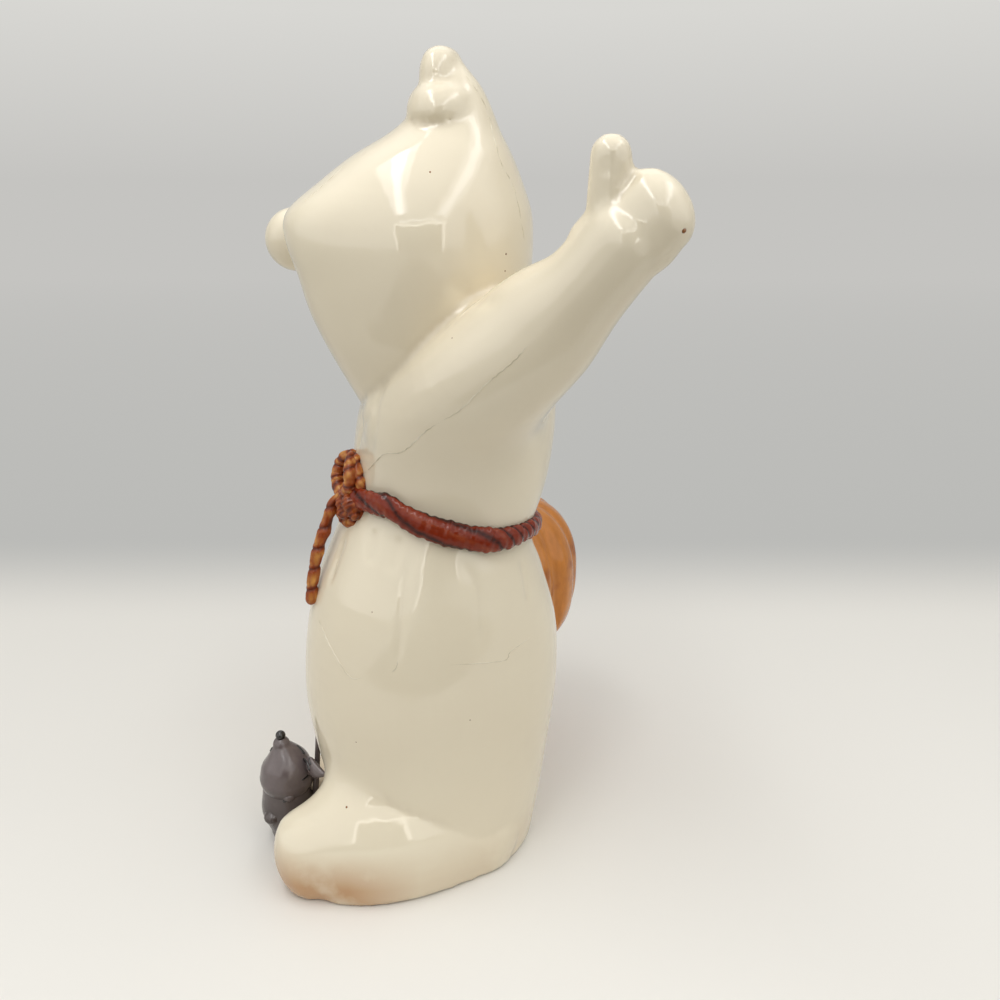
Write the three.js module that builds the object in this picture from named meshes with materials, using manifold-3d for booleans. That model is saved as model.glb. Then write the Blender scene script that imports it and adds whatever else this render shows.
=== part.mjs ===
// Glazed ceramic ghost with a raised arm, a rope belt, a pumpkin and a mouse.
// Millimetres, +Z up. The origin is in the underside of the base. The ghost faces -Y, its left is +X.

import * as THREE from 'three';
import { mergeVertices } from 'three/addons/utils/BufferGeometryUtils.js';
import Module from 'manifold-3d';

const wasm = await Module();
wasm.setup();

// Clay and joints
const clearance = 0.3; // between two pieces that are luted together
const bodyWall = 5;
const headWall = 5;
const floorThickness = 6;
const pourHoleDiameter = 26;
const pourHoleBehindOrigin = 22;
const neckHoleDiameter = 26;
const neckHoleDepth = 15; // from the robe's top down into its hollow

// Robe, as level sections from the floor to the neck. up is a share of the height, back and deep are
// shares of the half depth, and wide is a share of the half width. tilt and lean are the rise of a section
// per millimetre towards the back and towards the left.
const robeHeight = 198;
const robeWidth = 84;
const robeDepth = 92;
const robeForm = [
  { up: 0, back: 0.02, wide: 0.845, deep: 0.86, tilt: 0, lean: 0 },
  { up: 0.09, back: 0.065, wide: 0.87, deep: 0.88, tilt: 0, lean: 0 },
  { up: 0.212, back: 0.065, wide: 0.93, deep: 0.957, tilt: 0, lean: 0 },
  { up: 0.343, back: 0.076, wide: 1, deep: 1, tilt: -0.03, lean: 0 },
  { up: 0.475, back: 0.109, wide: 0.988, deep: 0.946, tilt: -0.12, lean: 0.01 },
  { up: 0.586, back: 0.152, wide: 0.917, deep: 0.783, tilt: -0.2, lean: 0.02 },
  { up: 0.662, back: 0.178, wide: 0.845, deep: 0.663, tilt: -0.24, lean: 0.03 },
  { up: 0.747, back: 0.261, wide: 0.893, deep: 0.717, tilt: -0.15, lean: 0.02 },
  { up: 0.838, back: 0.315, wide: 0.893, deep: 0.707, tilt: 0, lean: 0 },
  { up: 0.929, back: 0.337, wide: 0.762, deep: 0.609, tilt: 0.1, lean: 0 },
  { up: 1, back: 0.337, wide: 0.571, deep: 0.478, tilt: 0.1, lean: 0 },
];

// Rope belt, which lies on the robe's section at the waist
const beltSection = 6; // which robe section carries the belt
const beltHeight = 8;
const beltDepth = 4;

// Bow, at the front of the belt
const ropeDiameter = 5.4;
const knotWidth = 10;
const knotHeight = 11;
const knotDepth = 8;
const knotStandOut = 2.4; // centre of the knot in front of the robe's waist
const bowLoopLength = 15;
const bowLoopHeight = 12;
const bowLoopRise = 6;
const shortEndLength = 10;
const shortEndSide = 9;
const longEndLength = 38;
const longEndSide = 2;
const cordEndDiameter = 4;

// Head, as the same kind of sections in its own frame: face towards -Y, then turned to the ghost's right.
// The higher flat is, the squarer is the face.
const headHeight = 106;
const headWidth = 71;
const headDepth = 72.6;
const headDrop = 30; // of its lowest section below the robe's top
const headTurn = 35; // degrees
const headForm = [
  { up: 0, back: -0.165, wide: 0.394, deep: 0.303, flat: 2.2 },
  { up: 0.094, back: 0.083, wide: 0.676, deep: 0.661, flat: 2.4 },
  { up: 0.198, back: 0.105, wide: 0.845, deep: 0.804, flat: 2.6 },
  { up: 0.302, back: 0.099, wide: 0.93, deep: 0.901, flat: 2.9 },
  { up: 0.406, back: 0.088, wide: 0.986, deep: 0.959, flat: 3 },
  { up: 0.5, back: 0.061, wide: 1, deep: 1, flat: 3.3 },
  { up: 0.575, back: 0.05, wide: 0.958, deep: 0.997, flat: 3.1 },
  { up: 0.651, back: 0.121, wide: 0.845, deep: 0.854, flat: 2.4 },
  { up: 0.726, back: 0.22, wide: 0.662, deep: 0.667, flat: 2.1 },
  { up: 0.792, back: 0.342, wide: 0.451, deep: 0.446, flat: 2 },
  { up: 0.858, back: 0.413, wide: 0.31, deep: 0.303, flat: 2 },
  { up: 0.934, back: 0.386, wide: 0.225, deep: 0.22, flat: 2 },
  { up: 1, back: 0.317, wide: 0.113, deep: 0.124, flat: 2 },
];
const headHollowSections = 10; // the peak above these sections is solid clay
const noseDiameter = 20;
const noseRise = 52; // above the head's lowest section
const noseStandOut = 4.5; // centre of the nose in front of the face

// Rolls of gathered cloth on the peak, in the head's frame: the side is from the middle of the peak and
// the drop from its tip
const lowerRollSide = 7;
const lowerRollDrop = 14.5;
const lowerRollWidth = 21;
const lowerRollDepth = 23.6;
const lowerRollHeight = 13.2;
const upperRollSide = 4.5;
const upperRollDrop = 5;
const upperRollWidth = 13;
const upperRollDepth = 14.4;
const upperRollHeight = 11.6;

// Raised left arm, from inside the robe to the wrist, and its mitten and thumb from the wrist. In a limb's
// form, at is in shares of the length, and wide and high are shares of the width.
const shoulderSide = 14;
const shoulderBack = 8;
const shoulderDrop = 33; // below the robe's top
const raisedArmLength = 88;
const raisedArmWidth = 58;
const raisedArmForm = [
  { at: [0, 0, 0], wide: 1, high: 0.931 },
  { at: [0.239, 0.057, 0.216], wide: 0.845, high: 0.776 },
  { at: [0.443, 0.182, 0.386], wide: 0.569, high: 0.538 },
  { at: [0.568, 0.261, 0.528], wide: 0.448, high: 0.428 },
  { at: [0.665, 0.33, 0.665], wide: 0.4, high: 0.407 },
];
const mittenLength = 17;
const mittenWidth = 25.2;
const mittenForm = [
  { at: [-0.206, -0.176, -0.206], wide: 0.794, high: 0.921 },
  { at: [0.147, 0.147, 0.206], wide: 0.73, high: 1 },
  { at: [0.353, 0.353, 0.441], wide: 0.651, high: 0.889 },
];
const thumbLength = 19;
const thumbWidth = 16;
const thumbForm = [
  { at: [-0.079, -0.105, -0.026], wide: 1, high: 1 },
  { at: [-0.053, -0.184, 0.553], wide: 0.725, high: 0.75 },
  { at: [0, -0.237, 1], wide: 0.575, high: 0.6 },
];
const armBoreDiameter = 18;
const armBoreLength = 42; // from the start of the arm's path

// Right arm, from inside the robe, then over the pumpkin in shares of the pumpkin's diameter
const pumpkinArmSide = 14;
const pumpkinArmBack = 15;
const pumpkinArmDrop = 28; // below the robe's top
const pumpkinArmReach = 42;
const pumpkinArmWidth = 48;
const pumpkinArmForm = [
  { at: [0, 0, 0], wide: 1, high: 0.917 },
  { at: [-0.571, 0.119, -0.143], wide: 0.708, high: 0.708 },
  { at: [-1, 0.357, -0.524], wide: 0.563, high: 0.583 },
];
const pumpkinHandForm = [
  { at: [-0.182, -0.104, 0.636], wide: 0.5, high: 0.5 },
  { at: [-0.299, -0.143, 0.377], wide: 0.521, high: 0.417 },
  { at: [-0.338, -0.221, 0.169], wide: 0.458, high: 0.333 },
];

// Pumpkin, luted to the robe behind the right hip
const pumpkinBearing = 36.4; // degrees from the ghost's right towards its back
const pumpkinSink = 13.5; // how far its round would reach into the robe
const pumpkinAboveFloor = 41;
const pumpkinDiameter = 77;
const pumpkinHeight = 76;
const pumpkinWall = 4.5;
const pumpkinRibs = 12;
const pumpkinRibDepth = 2;
const pumpkinDimpleDepth = 5; // of the hollow at the top and underneath
const stemFootDiameter = 13;
const stemWaistDiameter = 8.4;
const stemTopDiameter = 11;
const stemLength = 14;
const stemBend = 4; // of the top towards the back

// Feet, from heel to toe: at is in shares of the length, and of the height in its last number
const leftFootSide = 18;
const leftFootBack = 12;
const leftFootLength = 58;
const leftFootWidth = 42;
const leftFootHeight = 58; // of the whole round, part of which would lie below the floor
const leftFootForm = [
  { at: [0, 0, 0.198], wide: 0.867, high: 0.862 },
  { at: [0.017, -0.345, 0.241], wide: 1, high: 0.966 },
  { at: [0.009, -0.621, 0.241], wide: 0.976, high: 1 },
  { at: [-0.017, -0.862, 0.233], wide: 0.833, high: 0.879 },
  { at: [-0.043, -1, 0.216], wide: 0.667, high: 0.655 },
];
const rightFootSide = -18;
const rightFootBack = 10;
const rightFootLength = 50;
const rightFootWidth = 38;
const rightFootHeight = 48;
const rightFootForm = [
  { at: [0, 0, 0.229], wide: 0.974, high: 1 },
  { at: [-0.08, -0.36, 0.25], wide: 1, high: 1 },
  { at: [-0.14, -0.64, 0.167], wide: 0.921, high: 0.729 },
  { at: [-0.2, -0.88, 0.125], wide: 0.789, high: 0.542 },
  { at: [-0.22, -1, 0.104], wide: 0.632, high: 0.458 },
];

// Mouse between the feet, in its own frame, with its head thrown back. In its forms, at is in shares of the
// half width, and of the height in its last number.
const mouseSide = -14;
const mouseAhead = 12.5; // of the robe's foot
const mouseTurn = 20; // degrees
const mouseHeight = 44;
const mouseWidth = 21;
const mouseBodyForm = [
  { at: [0.095, 0, 0.091], wide: 0.762, high: 0.714 },
  { at: [0.048, 0, 0.273], wide: 1, high: 0.952 },
  { at: [0, 0, 0.455], wide: 0.905, high: 0.857 },
];
const mouseHeadForm = [
  { at: [0, -0.076, 0.602], wide: 0.895, high: 0.895 },
  { at: [0.048, -0.095, 0.75], wide: 0.714, high: 0.714 },
  { at: [0.048, -0.095, 0.909], wide: 0.267, high: 0.267 },
];
const mouseEarAt = [0.762, 0.286, 0.659];
const mouseEarDiameter = 10;
const mouseEarThickness = 2.6;
const mouseNoseDiameter = 3.6;
const mouseNoseStandOut = 0.6; // centre of the nose beyond the muzzle
const mouseTailDiameter = 3;
const mouseTailTipDiameter = 1.5;
const mouseTailForm = [
  [0.429, 0.762, 0.068],
  [0.667, 0.762, 0.409],
  [0.762, 0.686, 0.75],
  [0.781, 0.619, 1.023],
];

// Glaze colours
const ivory = 0xe9dfc8;
const pumpkinOrange = 0xc9812f;
const ropeBrown = 0xa8642f;
const beltBrown = 0x6f2d18;
const mouseGrey = 0x77686a;
const nearBlack = 0x201c1c;

// A closed mesh as a solid, and back

function toSolid(geometry) {
  const bare = geometry.clone();
  bare.deleteAttribute('normal');
  bare.deleteAttribute('uv');
  const merged = mergeVertices(bare, 1e-4);
  return new wasm.Manifold(
    new wasm.Mesh({
      numProp: 3,
      vertProperties: Float32Array.from(merged.attributes.position.array),
      triVerts: Uint32Array.from(merged.index.array),
    }),
  );
}

function toGeometry(solid) {
  const mesh = solid.getMesh();
  const geometry = new THREE.BufferGeometry();
  geometry.setAttribute('position', new THREE.BufferAttribute(Float32Array.from(mesh.vertProperties), 3));
  geometry.setIndex(new THREE.BufferAttribute(Uint32Array.from(mesh.triVerts), 1));
  geometry.computeVertexNormals();
  return geometry;
}

// Where a cut leaves chips beside the piece, the piece is the largest of them.
function largestPiece(solid) {
  return solid.decompose().reduce((best, piece) => (piece.volume() > best.volume() ? piece : best));
}

// Skins: a stack of rings with the same number of points, closed by a fan at each end

function skin(rings, startPoint, endPoint) {
  const sides = rings[0].length;
  const points = [...rings.flat(), startPoint, endPoint];
  const start = points.length - 2;
  const end = points.length - 1;
  const faces = [];
  for (let ring = 0; ring < rings.length - 1; ring += 1) {
    for (let side = 0; side < sides; side += 1) {
      const next = (side + 1) % sides;
      const [a, b] = [ring * sides + side, ring * sides + next];
      faces.push(a, b, b + sides, a, b + sides, a + sides);
    }
  }
  const last = (rings.length - 1) * sides;
  for (let side = 0; side < sides; side += 1) {
    const next = (side + 1) % sides;
    faces.push(start, next, side, end, last + side, last + next);
  }
  const geometry = new THREE.BufferGeometry().setFromPoints(points);
  geometry.setIndex(faces);
  return geometry;
}

// Any list of equal-length number rows as one smooth function of 0 to 1
function smoothRows(rows) {
  const curves = rows[0].map((_, column) => {
    const knots = rows.map((row) => new THREE.Vector3(row[column], 0, 0));
    return new THREE.CatmullRomCurve3(knots, false, 'catmullrom', 0.5);
  });
  return (t) => curves.map((curve) => curve.getPoint(t).x);
}

// One point of a level section: an ellipse whose front half may be squarer than its back
function sectionPoint(section, angle, grow) {
  const [cos, sin] = [Math.cos(angle), Math.sin(angle)];
  const power = 2 / (sin < 0 ? section.flat : 2);
  const dx = Math.sign(cos) * Math.abs(cos) ** power * (section.halfWidth + grow);
  const dy = Math.sign(sin) * Math.abs(sin) ** power * (section.halfDepth + grow);
  const rise = section.tilt * dy + section.lean * dx;
  return new THREE.Vector3(dx, section.y + dy, section.z + rise);
}

// A form of shares as level sections in millimetres, from the height of its base
function sizedSections(form, base, height, width, depth) {
  return form.map(({ up, back, wide, deep, tilt = 0, lean = 0, flat = 2 }) => ({
    z: base + up * height,
    y: (back * depth) / 2,
    halfWidth: (wide * width) / 2,
    halfDepth: (deep * depth) / 2,
    tilt,
    lean,
    flat,
  }));
}

function sectionsCurve(sections) {
  const rows = sections.map((s) => [s.z, s.y, s.halfWidth, s.halfDepth, s.tilt, s.lean, s.flat]);
  const smooth = smoothRows(rows);
  return (t) => {
    const [z, y, halfWidth, halfDepth, tilt, lean, flat] = smooth(t);
    return { z, y, halfWidth, halfDepth, tilt, lean, flat };
  };
}

// Level sections as a closed solid, grown or shrunk sideways
function stack(sections, { steps, sides, grow = 0 }) {
  const curve = sectionsCurve(sections);
  const rings = [];
  for (let step = 0; step <= steps; step += 1) {
    const section = curve(step / steps);
    const ring = [];
    for (let side = 0; side < sides; side += 1) {
      ring.push(sectionPoint(section, (2 * Math.PI * side) / sides, grow));
    }
    rings.push(ring);
  }
  const [first, last] = [curve(0), curve(1)];
  const start = new THREE.Vector3(0, first.y, first.z);
  const end = new THREE.Vector3(0, last.y, last.z);
  return toSolid(skin(rings, start, end));
}

// A form of shares as a limb's path in millimetres
function sizedPath(form, [x, y, z], [sideSize, backSize, upSize], width, height = width) {
  return form.map(({ at: [side, back, up], wide, high }) => ({
    at: [x + side * sideSize, y + back * backSize, z + up * upSize],
    halfWidth: (wide * width) / 2,
    halfHeight: (high * height) / 2,
  }));
}

// A limb: round sections along a path, with a round end where asked for
function limb(path, { steps, sides, grow = 0, roundStart = false, roundEnd = true, up = [0, 0, 1] }) {
  const smooth = smoothRows(path.map((station) => [...station.at, station.halfWidth, station.halfHeight]));
  const place = (t) => new THREE.Vector3(...smooth(t).slice(0, 3));
  const upwards = new THREE.Vector3(...up);
  const frame = (t) => {
    const ahead = place(Math.min(1, t + 0.01)).sub(place(Math.max(0, t - 0.01))).normalize();
    const across = new THREE.Vector3().crossVectors(upwards, ahead).normalize();
    return { ahead, across, over: new THREE.Vector3().crossVectors(ahead, across) };
  };
  const ring = (centre, { across, over }, halfWidth, halfHeight) => {
    const points = [];
    for (let side = 0; side < sides; side += 1) {
      const angle = (2 * Math.PI * side) / sides;
      const point = centre.clone();
      point.addScaledVector(across, Math.cos(angle) * (halfWidth + grow));
      point.addScaledVector(over, Math.sin(angle) * (halfHeight + grow));
      points.push(point);
    }
    return points;
  };
  const domeSteps = 4;
  // Rings of a half ball beyond one end, from the widest outwards
  const dome = (t, direction) => {
    const [, , , halfWidth, halfHeight] = smooth(t);
    const axes = frame(t);
    const reach = Math.min(halfWidth, halfHeight) + grow;
    const rings = [];
    for (let step = 1; step < domeSteps; step += 1) {
      const angle = (Math.PI / 2) * (step / domeSteps);
      const centre = place(t).addScaledVector(axes.ahead, direction * reach * Math.sin(angle));
      const shrink = Math.cos(angle);
      rings.push(ring(centre, axes, (halfWidth + grow) * shrink - grow, (halfHeight + grow) * shrink - grow));
    }
    return { rings, tip: place(t).addScaledVector(axes.ahead, direction * reach) };
  };
  const rings = [];
  let start = place(0);
  let end = place(1);
  if (roundStart) {
    const cap = dome(0, -1);
    rings.push(...cap.rings.reverse());
    start = cap.tip;
  }
  for (let step = 0; step <= steps; step += 1) {
    const t = step / steps;
    const [, , , halfWidth, halfHeight] = smooth(t);
    rings.push(ring(place(t), frame(t), halfWidth, halfHeight));
  }
  if (roundEnd) {
    const cap = dome(1, 1);
    rings.push(...cap.rings);
    end = cap.tip;
  }
  return toSolid(skin(rings, start, end));
}

// A ball squashed to three half sizes
function ball([x, y, z], [halfX, halfY, halfZ], sides = 20) {
  const geometry = new THREE.SphereGeometry(1, sides, Math.round(sides / 2));
  geometry.scale(halfX, halfY, halfZ).translate(x, y, z);
  return toSolid(geometry);
}

function uprightCylinder([x, y], radius, bottom, top, sides = 32) {
  const geometry = new THREE.CylinderGeometry(radius, radius, top - bottom, sides);
  geometry.rotateX(Math.PI / 2).translate(x, y, (bottom + top) / 2);
  return toSolid(geometry);
}

const worldHalf = 400;

function aboveFloor(solid) {
  const geometry = new THREE.BoxGeometry(2 * worldHalf, 2 * worldHalf, worldHalf);
  geometry.translate(0, 0, worldHalf / 2);
  return solid.intersect(toSolid(geometry));
}

// Robe

const robeSections = sizedSections(robeForm, 0, robeHeight, robeWidth, robeDepth);
const robeResolution = { steps: 26, sides: 32 };
const robeOuter = stack(robeSections, robeResolution);
const robeSeat = stack(robeSections, { ...robeResolution, grow: clearance });

function makeRobe() {
  const last = robeSections.length - 1;
  const inside = robeSections.map((section, index) => ({
    ...section,
    z: index === 0 ? floorThickness : section.z - (index === last ? bodyWall : 0),
    halfWidth: section.halfWidth - bodyWall,
    halfDepth: section.halfDepth - bodyWall,
  }));
  const cavity = stack(inside, { steps: 14, sides: 18 });
  const pourPlace = [0, pourHoleBehindOrigin];
  const pourHole = uprightCylinder(pourPlace, pourHoleDiameter / 2, -1, floorThickness + bodyWall);
  const { y, z } = robeSections[last];
  const neckHole = uprightCylinder([0, y], neckHoleDiameter / 2, z - neckHoleDepth, z + bodyWall);
  return robeOuter.subtract(cavity).subtract(pourHole).subtract(neckHole);
}

// The robe's front face at a given place across and up: its y, found by stepping along the sections
const robeCurve = sectionsCurve(robeSections);

function robeFront(x, z) {
  let [low, high] = [0, 1];
  for (let round = 0; round < 30; round += 1) {
    const middle = (low + high) / 2;
    const section = robeCurve(middle);
    const reach = Math.sqrt(Math.max(0, 1 - (x / section.halfWidth) ** 2)) * section.halfDepth;
    const height = section.z - section.tilt * reach + section.lean * x;
    if (height < z) low = middle;
    else high = middle;
  }
  const section = robeCurve(low);
  return section.y - Math.sqrt(Math.max(0, 1 - (x / section.halfWidth) ** 2)) * section.halfDepth;
}

// Head

const headBase = robeHeight - headDrop;
const headSections = sizedSections(headForm, headBase, headHeight, headWidth, headDepth);
const headResolution = { steps: 24, sides: 28 };

function turnedHead(solid) {
  return solid.rotate([0, 0, -headTurn]);
}

const headOuter = turnedHead(stack(headSections, headResolution));
const headSeat = turnedHead(stack(headSections, { ...headResolution, grow: clearance }));

function makeHead() {
  const inside = headSections.slice(0, headHollowSections).map((section, index, all) => ({
    ...section,
    z: index === all.length - 1 ? section.z - headWall / 2 : section.z,
    halfWidth: section.halfWidth - headWall,
    halfDepth: section.halfDepth - headWall,
  }));
  const cavity = turnedHead(stack(inside, { steps: 12, sides: 16 }));
  return largestPiece(headOuter.subtract(cavity).subtract(robeSeat));
}

const headCurve = sectionsCurve(headSections);

// The head's section nearest a height
function headSectionAt(z) {
  let nearest = headCurve(0);
  for (let t = 0; t <= 1; t += 0.01) {
    const section = headCurve(t);
    if (Math.abs(section.z - z) < Math.abs(nearest.z - z)) nearest = section;
  }
  return nearest;
}

// A roll of cloth: a squashed ball round the peak at its own height
function rollSolid(side, drop, sizes, grow) {
  const z = headSections.at(-1).z - drop;
  const halves = sizes.map((size) => size / 2 + grow);
  return turnedHead(ball([side, headSectionAt(z).y, z], halves, 16));
}

function lowerRollSolid(grow = 0) {
  return rollSolid(lowerRollSide, lowerRollDrop, [lowerRollWidth, lowerRollDepth, lowerRollHeight], grow);
}

function upperRollSolid(grow = 0) {
  return rollSolid(upperRollSide, upperRollDrop, [upperRollWidth, upperRollDepth, upperRollHeight], grow);
}

function makeLowerRoll() {
  return largestPiece(lowerRollSolid().subtract(headSeat));
}

function makeUpperRoll() {
  return largestPiece(upperRollSolid().subtract(headSeat).subtract(lowerRollSolid(clearance)));
}

function makeNose() {
  const height = headBase + noseRise;
  const face = headSectionAt(height);
  const radius = noseDiameter / 2;
  const place = [0, face.y - face.halfDepth - noseStandOut, height];
  return largestPiece(turnedHead(ball(place, [radius, radius, radius])).subtract(headSeat));
}

// Arms

const shoulder = [shoulderSide, shoulderBack, robeHeight - shoulderDrop];
const armSizes = [raisedArmLength, raisedArmLength, raisedArmLength];
const raisedArmPath = sizedPath(raisedArmForm, shoulder, armSizes, raisedArmWidth);
const wrist = raisedArmPath.at(-1).at;
const mittenPath = sizedPath(mittenForm, wrist, [mittenLength, mittenLength, mittenLength], mittenWidth);
const thumbPath = sizedPath(thumbForm, wrist, [thumbLength, thumbLength, thumbLength], thumbWidth);

function raisedArmOuter() {
  return limb(raisedArmPath, { steps: 12, sides: 18 })
    .add(limb(mittenPath, { steps: 4, sides: 16, roundStart: true }))
    .add(limb(thumbPath, { steps: 4, sides: 12, roundStart: true, up: [0, 1, 0] }));
}

function makeRaisedArm() {
  const knots = raisedArmPath.map((station) => new THREE.Vector3(...station.at));
  const line = new THREE.CatmullRomCurve3(knots, false, 'catmullrom', 0.5);
  const bore = [];
  for (let step = 0; step <= 4; step += 1) {
    const at = line.getPointAt(Math.min(1, (armBoreLength / line.getLength()) * (step / 4)));
    bore.push({ at: at.toArray(), halfWidth: armBoreDiameter / 2, halfHeight: armBoreDiameter / 2 });
  }
  const arm = raisedArmOuter().subtract(limb(bore, { steps: 6, sides: 12 }));
  return largestPiece(arm.subtract(robeSeat).subtract(headSeat));
}

const pumpkinCentre = (() => {
  const angle = THREE.MathUtils.degToRad(pumpkinBearing);
  const [side, back] = [Math.cos(angle), Math.sin(angle)];
  const robeRadius = 1 / Math.hypot((2 * side) / robeWidth, (2 * back) / robeDepth);
  const away = robeRadius + pumpkinDiameter / 2 - pumpkinSink;
  const widest = robeSections.reduce((best, next) => (next.halfWidth > best.halfWidth ? next : best));
  return [-side * away, widest.y + back * away, pumpkinAboveFloor + pumpkinHeight / 2];
})();

const farShoulder = [-pumpkinArmSide, pumpkinArmBack, robeHeight - pumpkinArmDrop];
const reachSizes = [pumpkinArmReach, pumpkinArmReach, pumpkinArmReach];
const handSizes = [pumpkinDiameter, pumpkinDiameter, pumpkinDiameter];
const pumpkinArmPath = [
  ...sizedPath(pumpkinArmForm, farShoulder, reachSizes, pumpkinArmWidth),
  ...sizedPath(pumpkinHandForm, pumpkinCentre, handSizes, pumpkinArmWidth),
];

function pumpkinArmOuter(grow = 0) {
  return limb(pumpkinArmPath, { steps: 14, sides: 16, grow });
}

function makePumpkinArm() {
  const arm = pumpkinArmOuter().subtract(robeSeat).subtract(headSeat);
  return largestPiece(arm.subtract(pumpkinSkin(clearance)));
}

// Pumpkin

// Rings from bottom to top whose radius dips between the ribs. The higher the powers, the narrower the
// grooves and the dimples.
const grooveSharpness = 4;
const dimpleSharpness = 8;

function pumpkinSkin(grow, ribDepth = pumpkinRibDepth, sides = 4 * pumpkinRibs, steps = 12) {
  const rings = [];
  const ring = (polar) => {
    const points = [];
    for (let side = 0; side < sides; side += 1) {
      const angle = (2 * Math.PI * side) / sides;
      const groove = ribDepth * Math.abs(Math.cos((pumpkinRibs * angle) / 2)) ** grooveSharpness;
      const radius = (pumpkinDiameter / 2 + grow - groove) * Math.sin(polar);
      const dimple = pumpkinDimpleDepth * Math.cos(polar) ** dimpleSharpness;
      const height = Math.sign(Math.cos(polar)) * dimple - (pumpkinHeight / 2 + grow) * Math.cos(polar);
      points.push(new THREE.Vector3(radius * Math.cos(angle), radius * Math.sin(angle), height));
    }
    return points;
  };
  for (let step = 1; step < steps; step += 1) rings.push(ring((Math.PI * step) / steps));
  const poleHeight = pumpkinHeight / 2 + grow - pumpkinDimpleDepth;
  const geometry = skin(rings, new THREE.Vector3(0, 0, -poleHeight), new THREE.Vector3(0, 0, poleHeight));
  geometry.translate(...pumpkinCentre);
  return toSolid(geometry);
}

// The hollow pumpkin is open where the robe cuts into it
function makePumpkin() {
  const cavity = pumpkinSkin(-pumpkinWall, 0, 16, 8);
  return largestPiece(pumpkinSkin(0).subtract(cavity).subtract(robeSeat));
}

function makeStem() {
  const [x, y, z] = pumpkinCentre;
  const foot = z + pumpkinHeight / 2 - pumpkinDimpleDepth;
  const diameters = [stemFootDiameter, stemWaistDiameter, stemTopDiameter];
  const path = diameters.map((diameter, index) => {
    const share = index / (diameters.length - 1);
    const at = [x, y + stemBend * share ** 2, foot + stemLength * share];
    return { at, halfWidth: diameter / 2, halfHeight: diameter / 2 };
  });
  const stem = limb(path, { steps: 6, sides: 12, roundStart: true, roundEnd: false, up: [0, 1, 0] });
  const seated = stem.subtract(pumpkinSkin(clearance)).subtract(robeSeat);
  return largestPiece(seated.subtract(pumpkinArmOuter(clearance)));
}

// Feet

const leftFootPath = sizedPath(
  leftFootForm,
  [leftFootSide, leftFootBack, 0],
  [leftFootLength, leftFootLength, leftFootHeight],
  leftFootWidth,
  leftFootHeight,
);
const rightFootPath = sizedPath(
  rightFootForm,
  [rightFootSide, rightFootBack, 0],
  [rightFootLength, rightFootLength, rightFootHeight],
  rightFootWidth,
  rightFootHeight,
);

function makeFoot(path) {
  const foot = limb(path, { steps: 10, sides: 18, roundStart: true });
  return largestPiece(aboveFloor(foot).subtract(robeSeat).subtract(placedMouse(mouseSeat())));
}

// Belt and bow

const beltT = beltSection / (robeSections.length - 1);

function beltSolid(grow = 0) {
  const section = robeCurve(beltT);
  const turns = 48;
  const sides = 8;
  const points = [];
  for (let turn = 0; turn < turns; turn += 1) {
    const angle = (2 * Math.PI * turn) / turns;
    for (let side = 0; side < sides; side += 1) {
      const around = (2 * Math.PI * side) / sides;
      const out = beltDepth / 2 + (beltDepth / 2 + grow) * Math.cos(around);
      const point = sectionPoint(section, angle, out);
      point.z += (beltHeight / 2 + grow) * Math.sin(around);
      points.push(point);
    }
  }
  const faces = [];
  for (let turn = 0; turn < turns; turn += 1) {
    for (let side = 0; side < sides; side += 1) {
      const [a, b] = [turn * sides + side, turn * sides + ((side + 1) % sides)];
      const onward = ((turn + 1) % turns) * sides - turn * sides;
      faces.push(a, a + onward, b + onward, a, b + onward, b);
    }
  }
  const geometry = new THREE.BufferGeometry().setFromPoints(points);
  geometry.setIndex(faces);
  return toSolid(geometry);
}

const knotPlace = (() => {
  const front = sectionPoint(robeCurve(beltT), -Math.PI / 2, knotStandOut);
  return front.toArray();
})();

function knotSolid(grow = 0) {
  return ball(knotPlace, [knotWidth / 2 + grow, knotDepth / 2 + grow, knotHeight / 2 + grow], 14);
}

function makeBelt() {
  return largestPiece(beltSolid().subtract(robeSeat).subtract(knotSolid(clearance)));
}

function makeKnot() {
  return largestPiece(knotSolid().subtract(robeSeat));
}

// A path that lies on the robe's front, given as steps across and up from the knot and the gap under it
function onRobe(offsets, radius) {
  return offsets.map(([across, up, gap]) => {
    const [x, z] = [knotPlace[0] + across, knotPlace[2] + up];
    return { at: [x, robeFront(x, z) - radius - gap, z], halfWidth: radius, halfHeight: radius };
  });
}

function loopOuter(side, grow = 0) {
  const offsets = [];
  const points = 12;
  for (let point = 0; point <= points; point += 1) {
    const turn = (2 * Math.PI * point) / points;
    const across = (side * bowLoopLength * (1 - Math.cos(turn))) / 2;
    const spread = (bowLoopHeight / 2) * Math.sin(turn) * Math.sin(turn / 2);
    offsets.push([across, spread + (bowLoopRise * (1 - Math.cos(turn))) / 2, clearance]);
  }
  const path = onRobe(offsets, ropeDiameter / 2);
  return limb(path, { steps: 22, sides: 8, grow, roundEnd: false, up: [0, 1, 0] });
}

function makeLoop(side) {
  const loop = loopOuter(side).subtract(knotSolid(clearance));
  return largestPiece(loop.subtract(robeSeat).subtract(beltSolid(clearance)));
}

// A cord end hangs from the front of the knot and comes to rest against the robe
function cordEndOuter(side, length, grow = 0) {
  const shares = [0, 1, 2, 3].map((step) => step / 3);
  const offsets = shares.map((share) => {
    const gap = THREE.MathUtils.lerp(knotDepth / 2, clearance, share);
    return [side * Math.sin((share * Math.PI) / 2), -length * share, gap];
  });
  return limb(onRobe(offsets, cordEndDiameter / 2), { steps: 16, sides: 8, grow, up: [0, 1, 0] });
}

function underBow(cord) {
  const bow = knotSolid(clearance).add(loopOuter(1, clearance)).add(loopOuter(-1, clearance));
  return cord.subtract(bow).subtract(robeSeat).subtract(beltSolid(clearance));
}

function makeLongEnd() {
  return largestPiece(underBow(cordEndOuter(longEndSide, longEndLength)));
}

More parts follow.
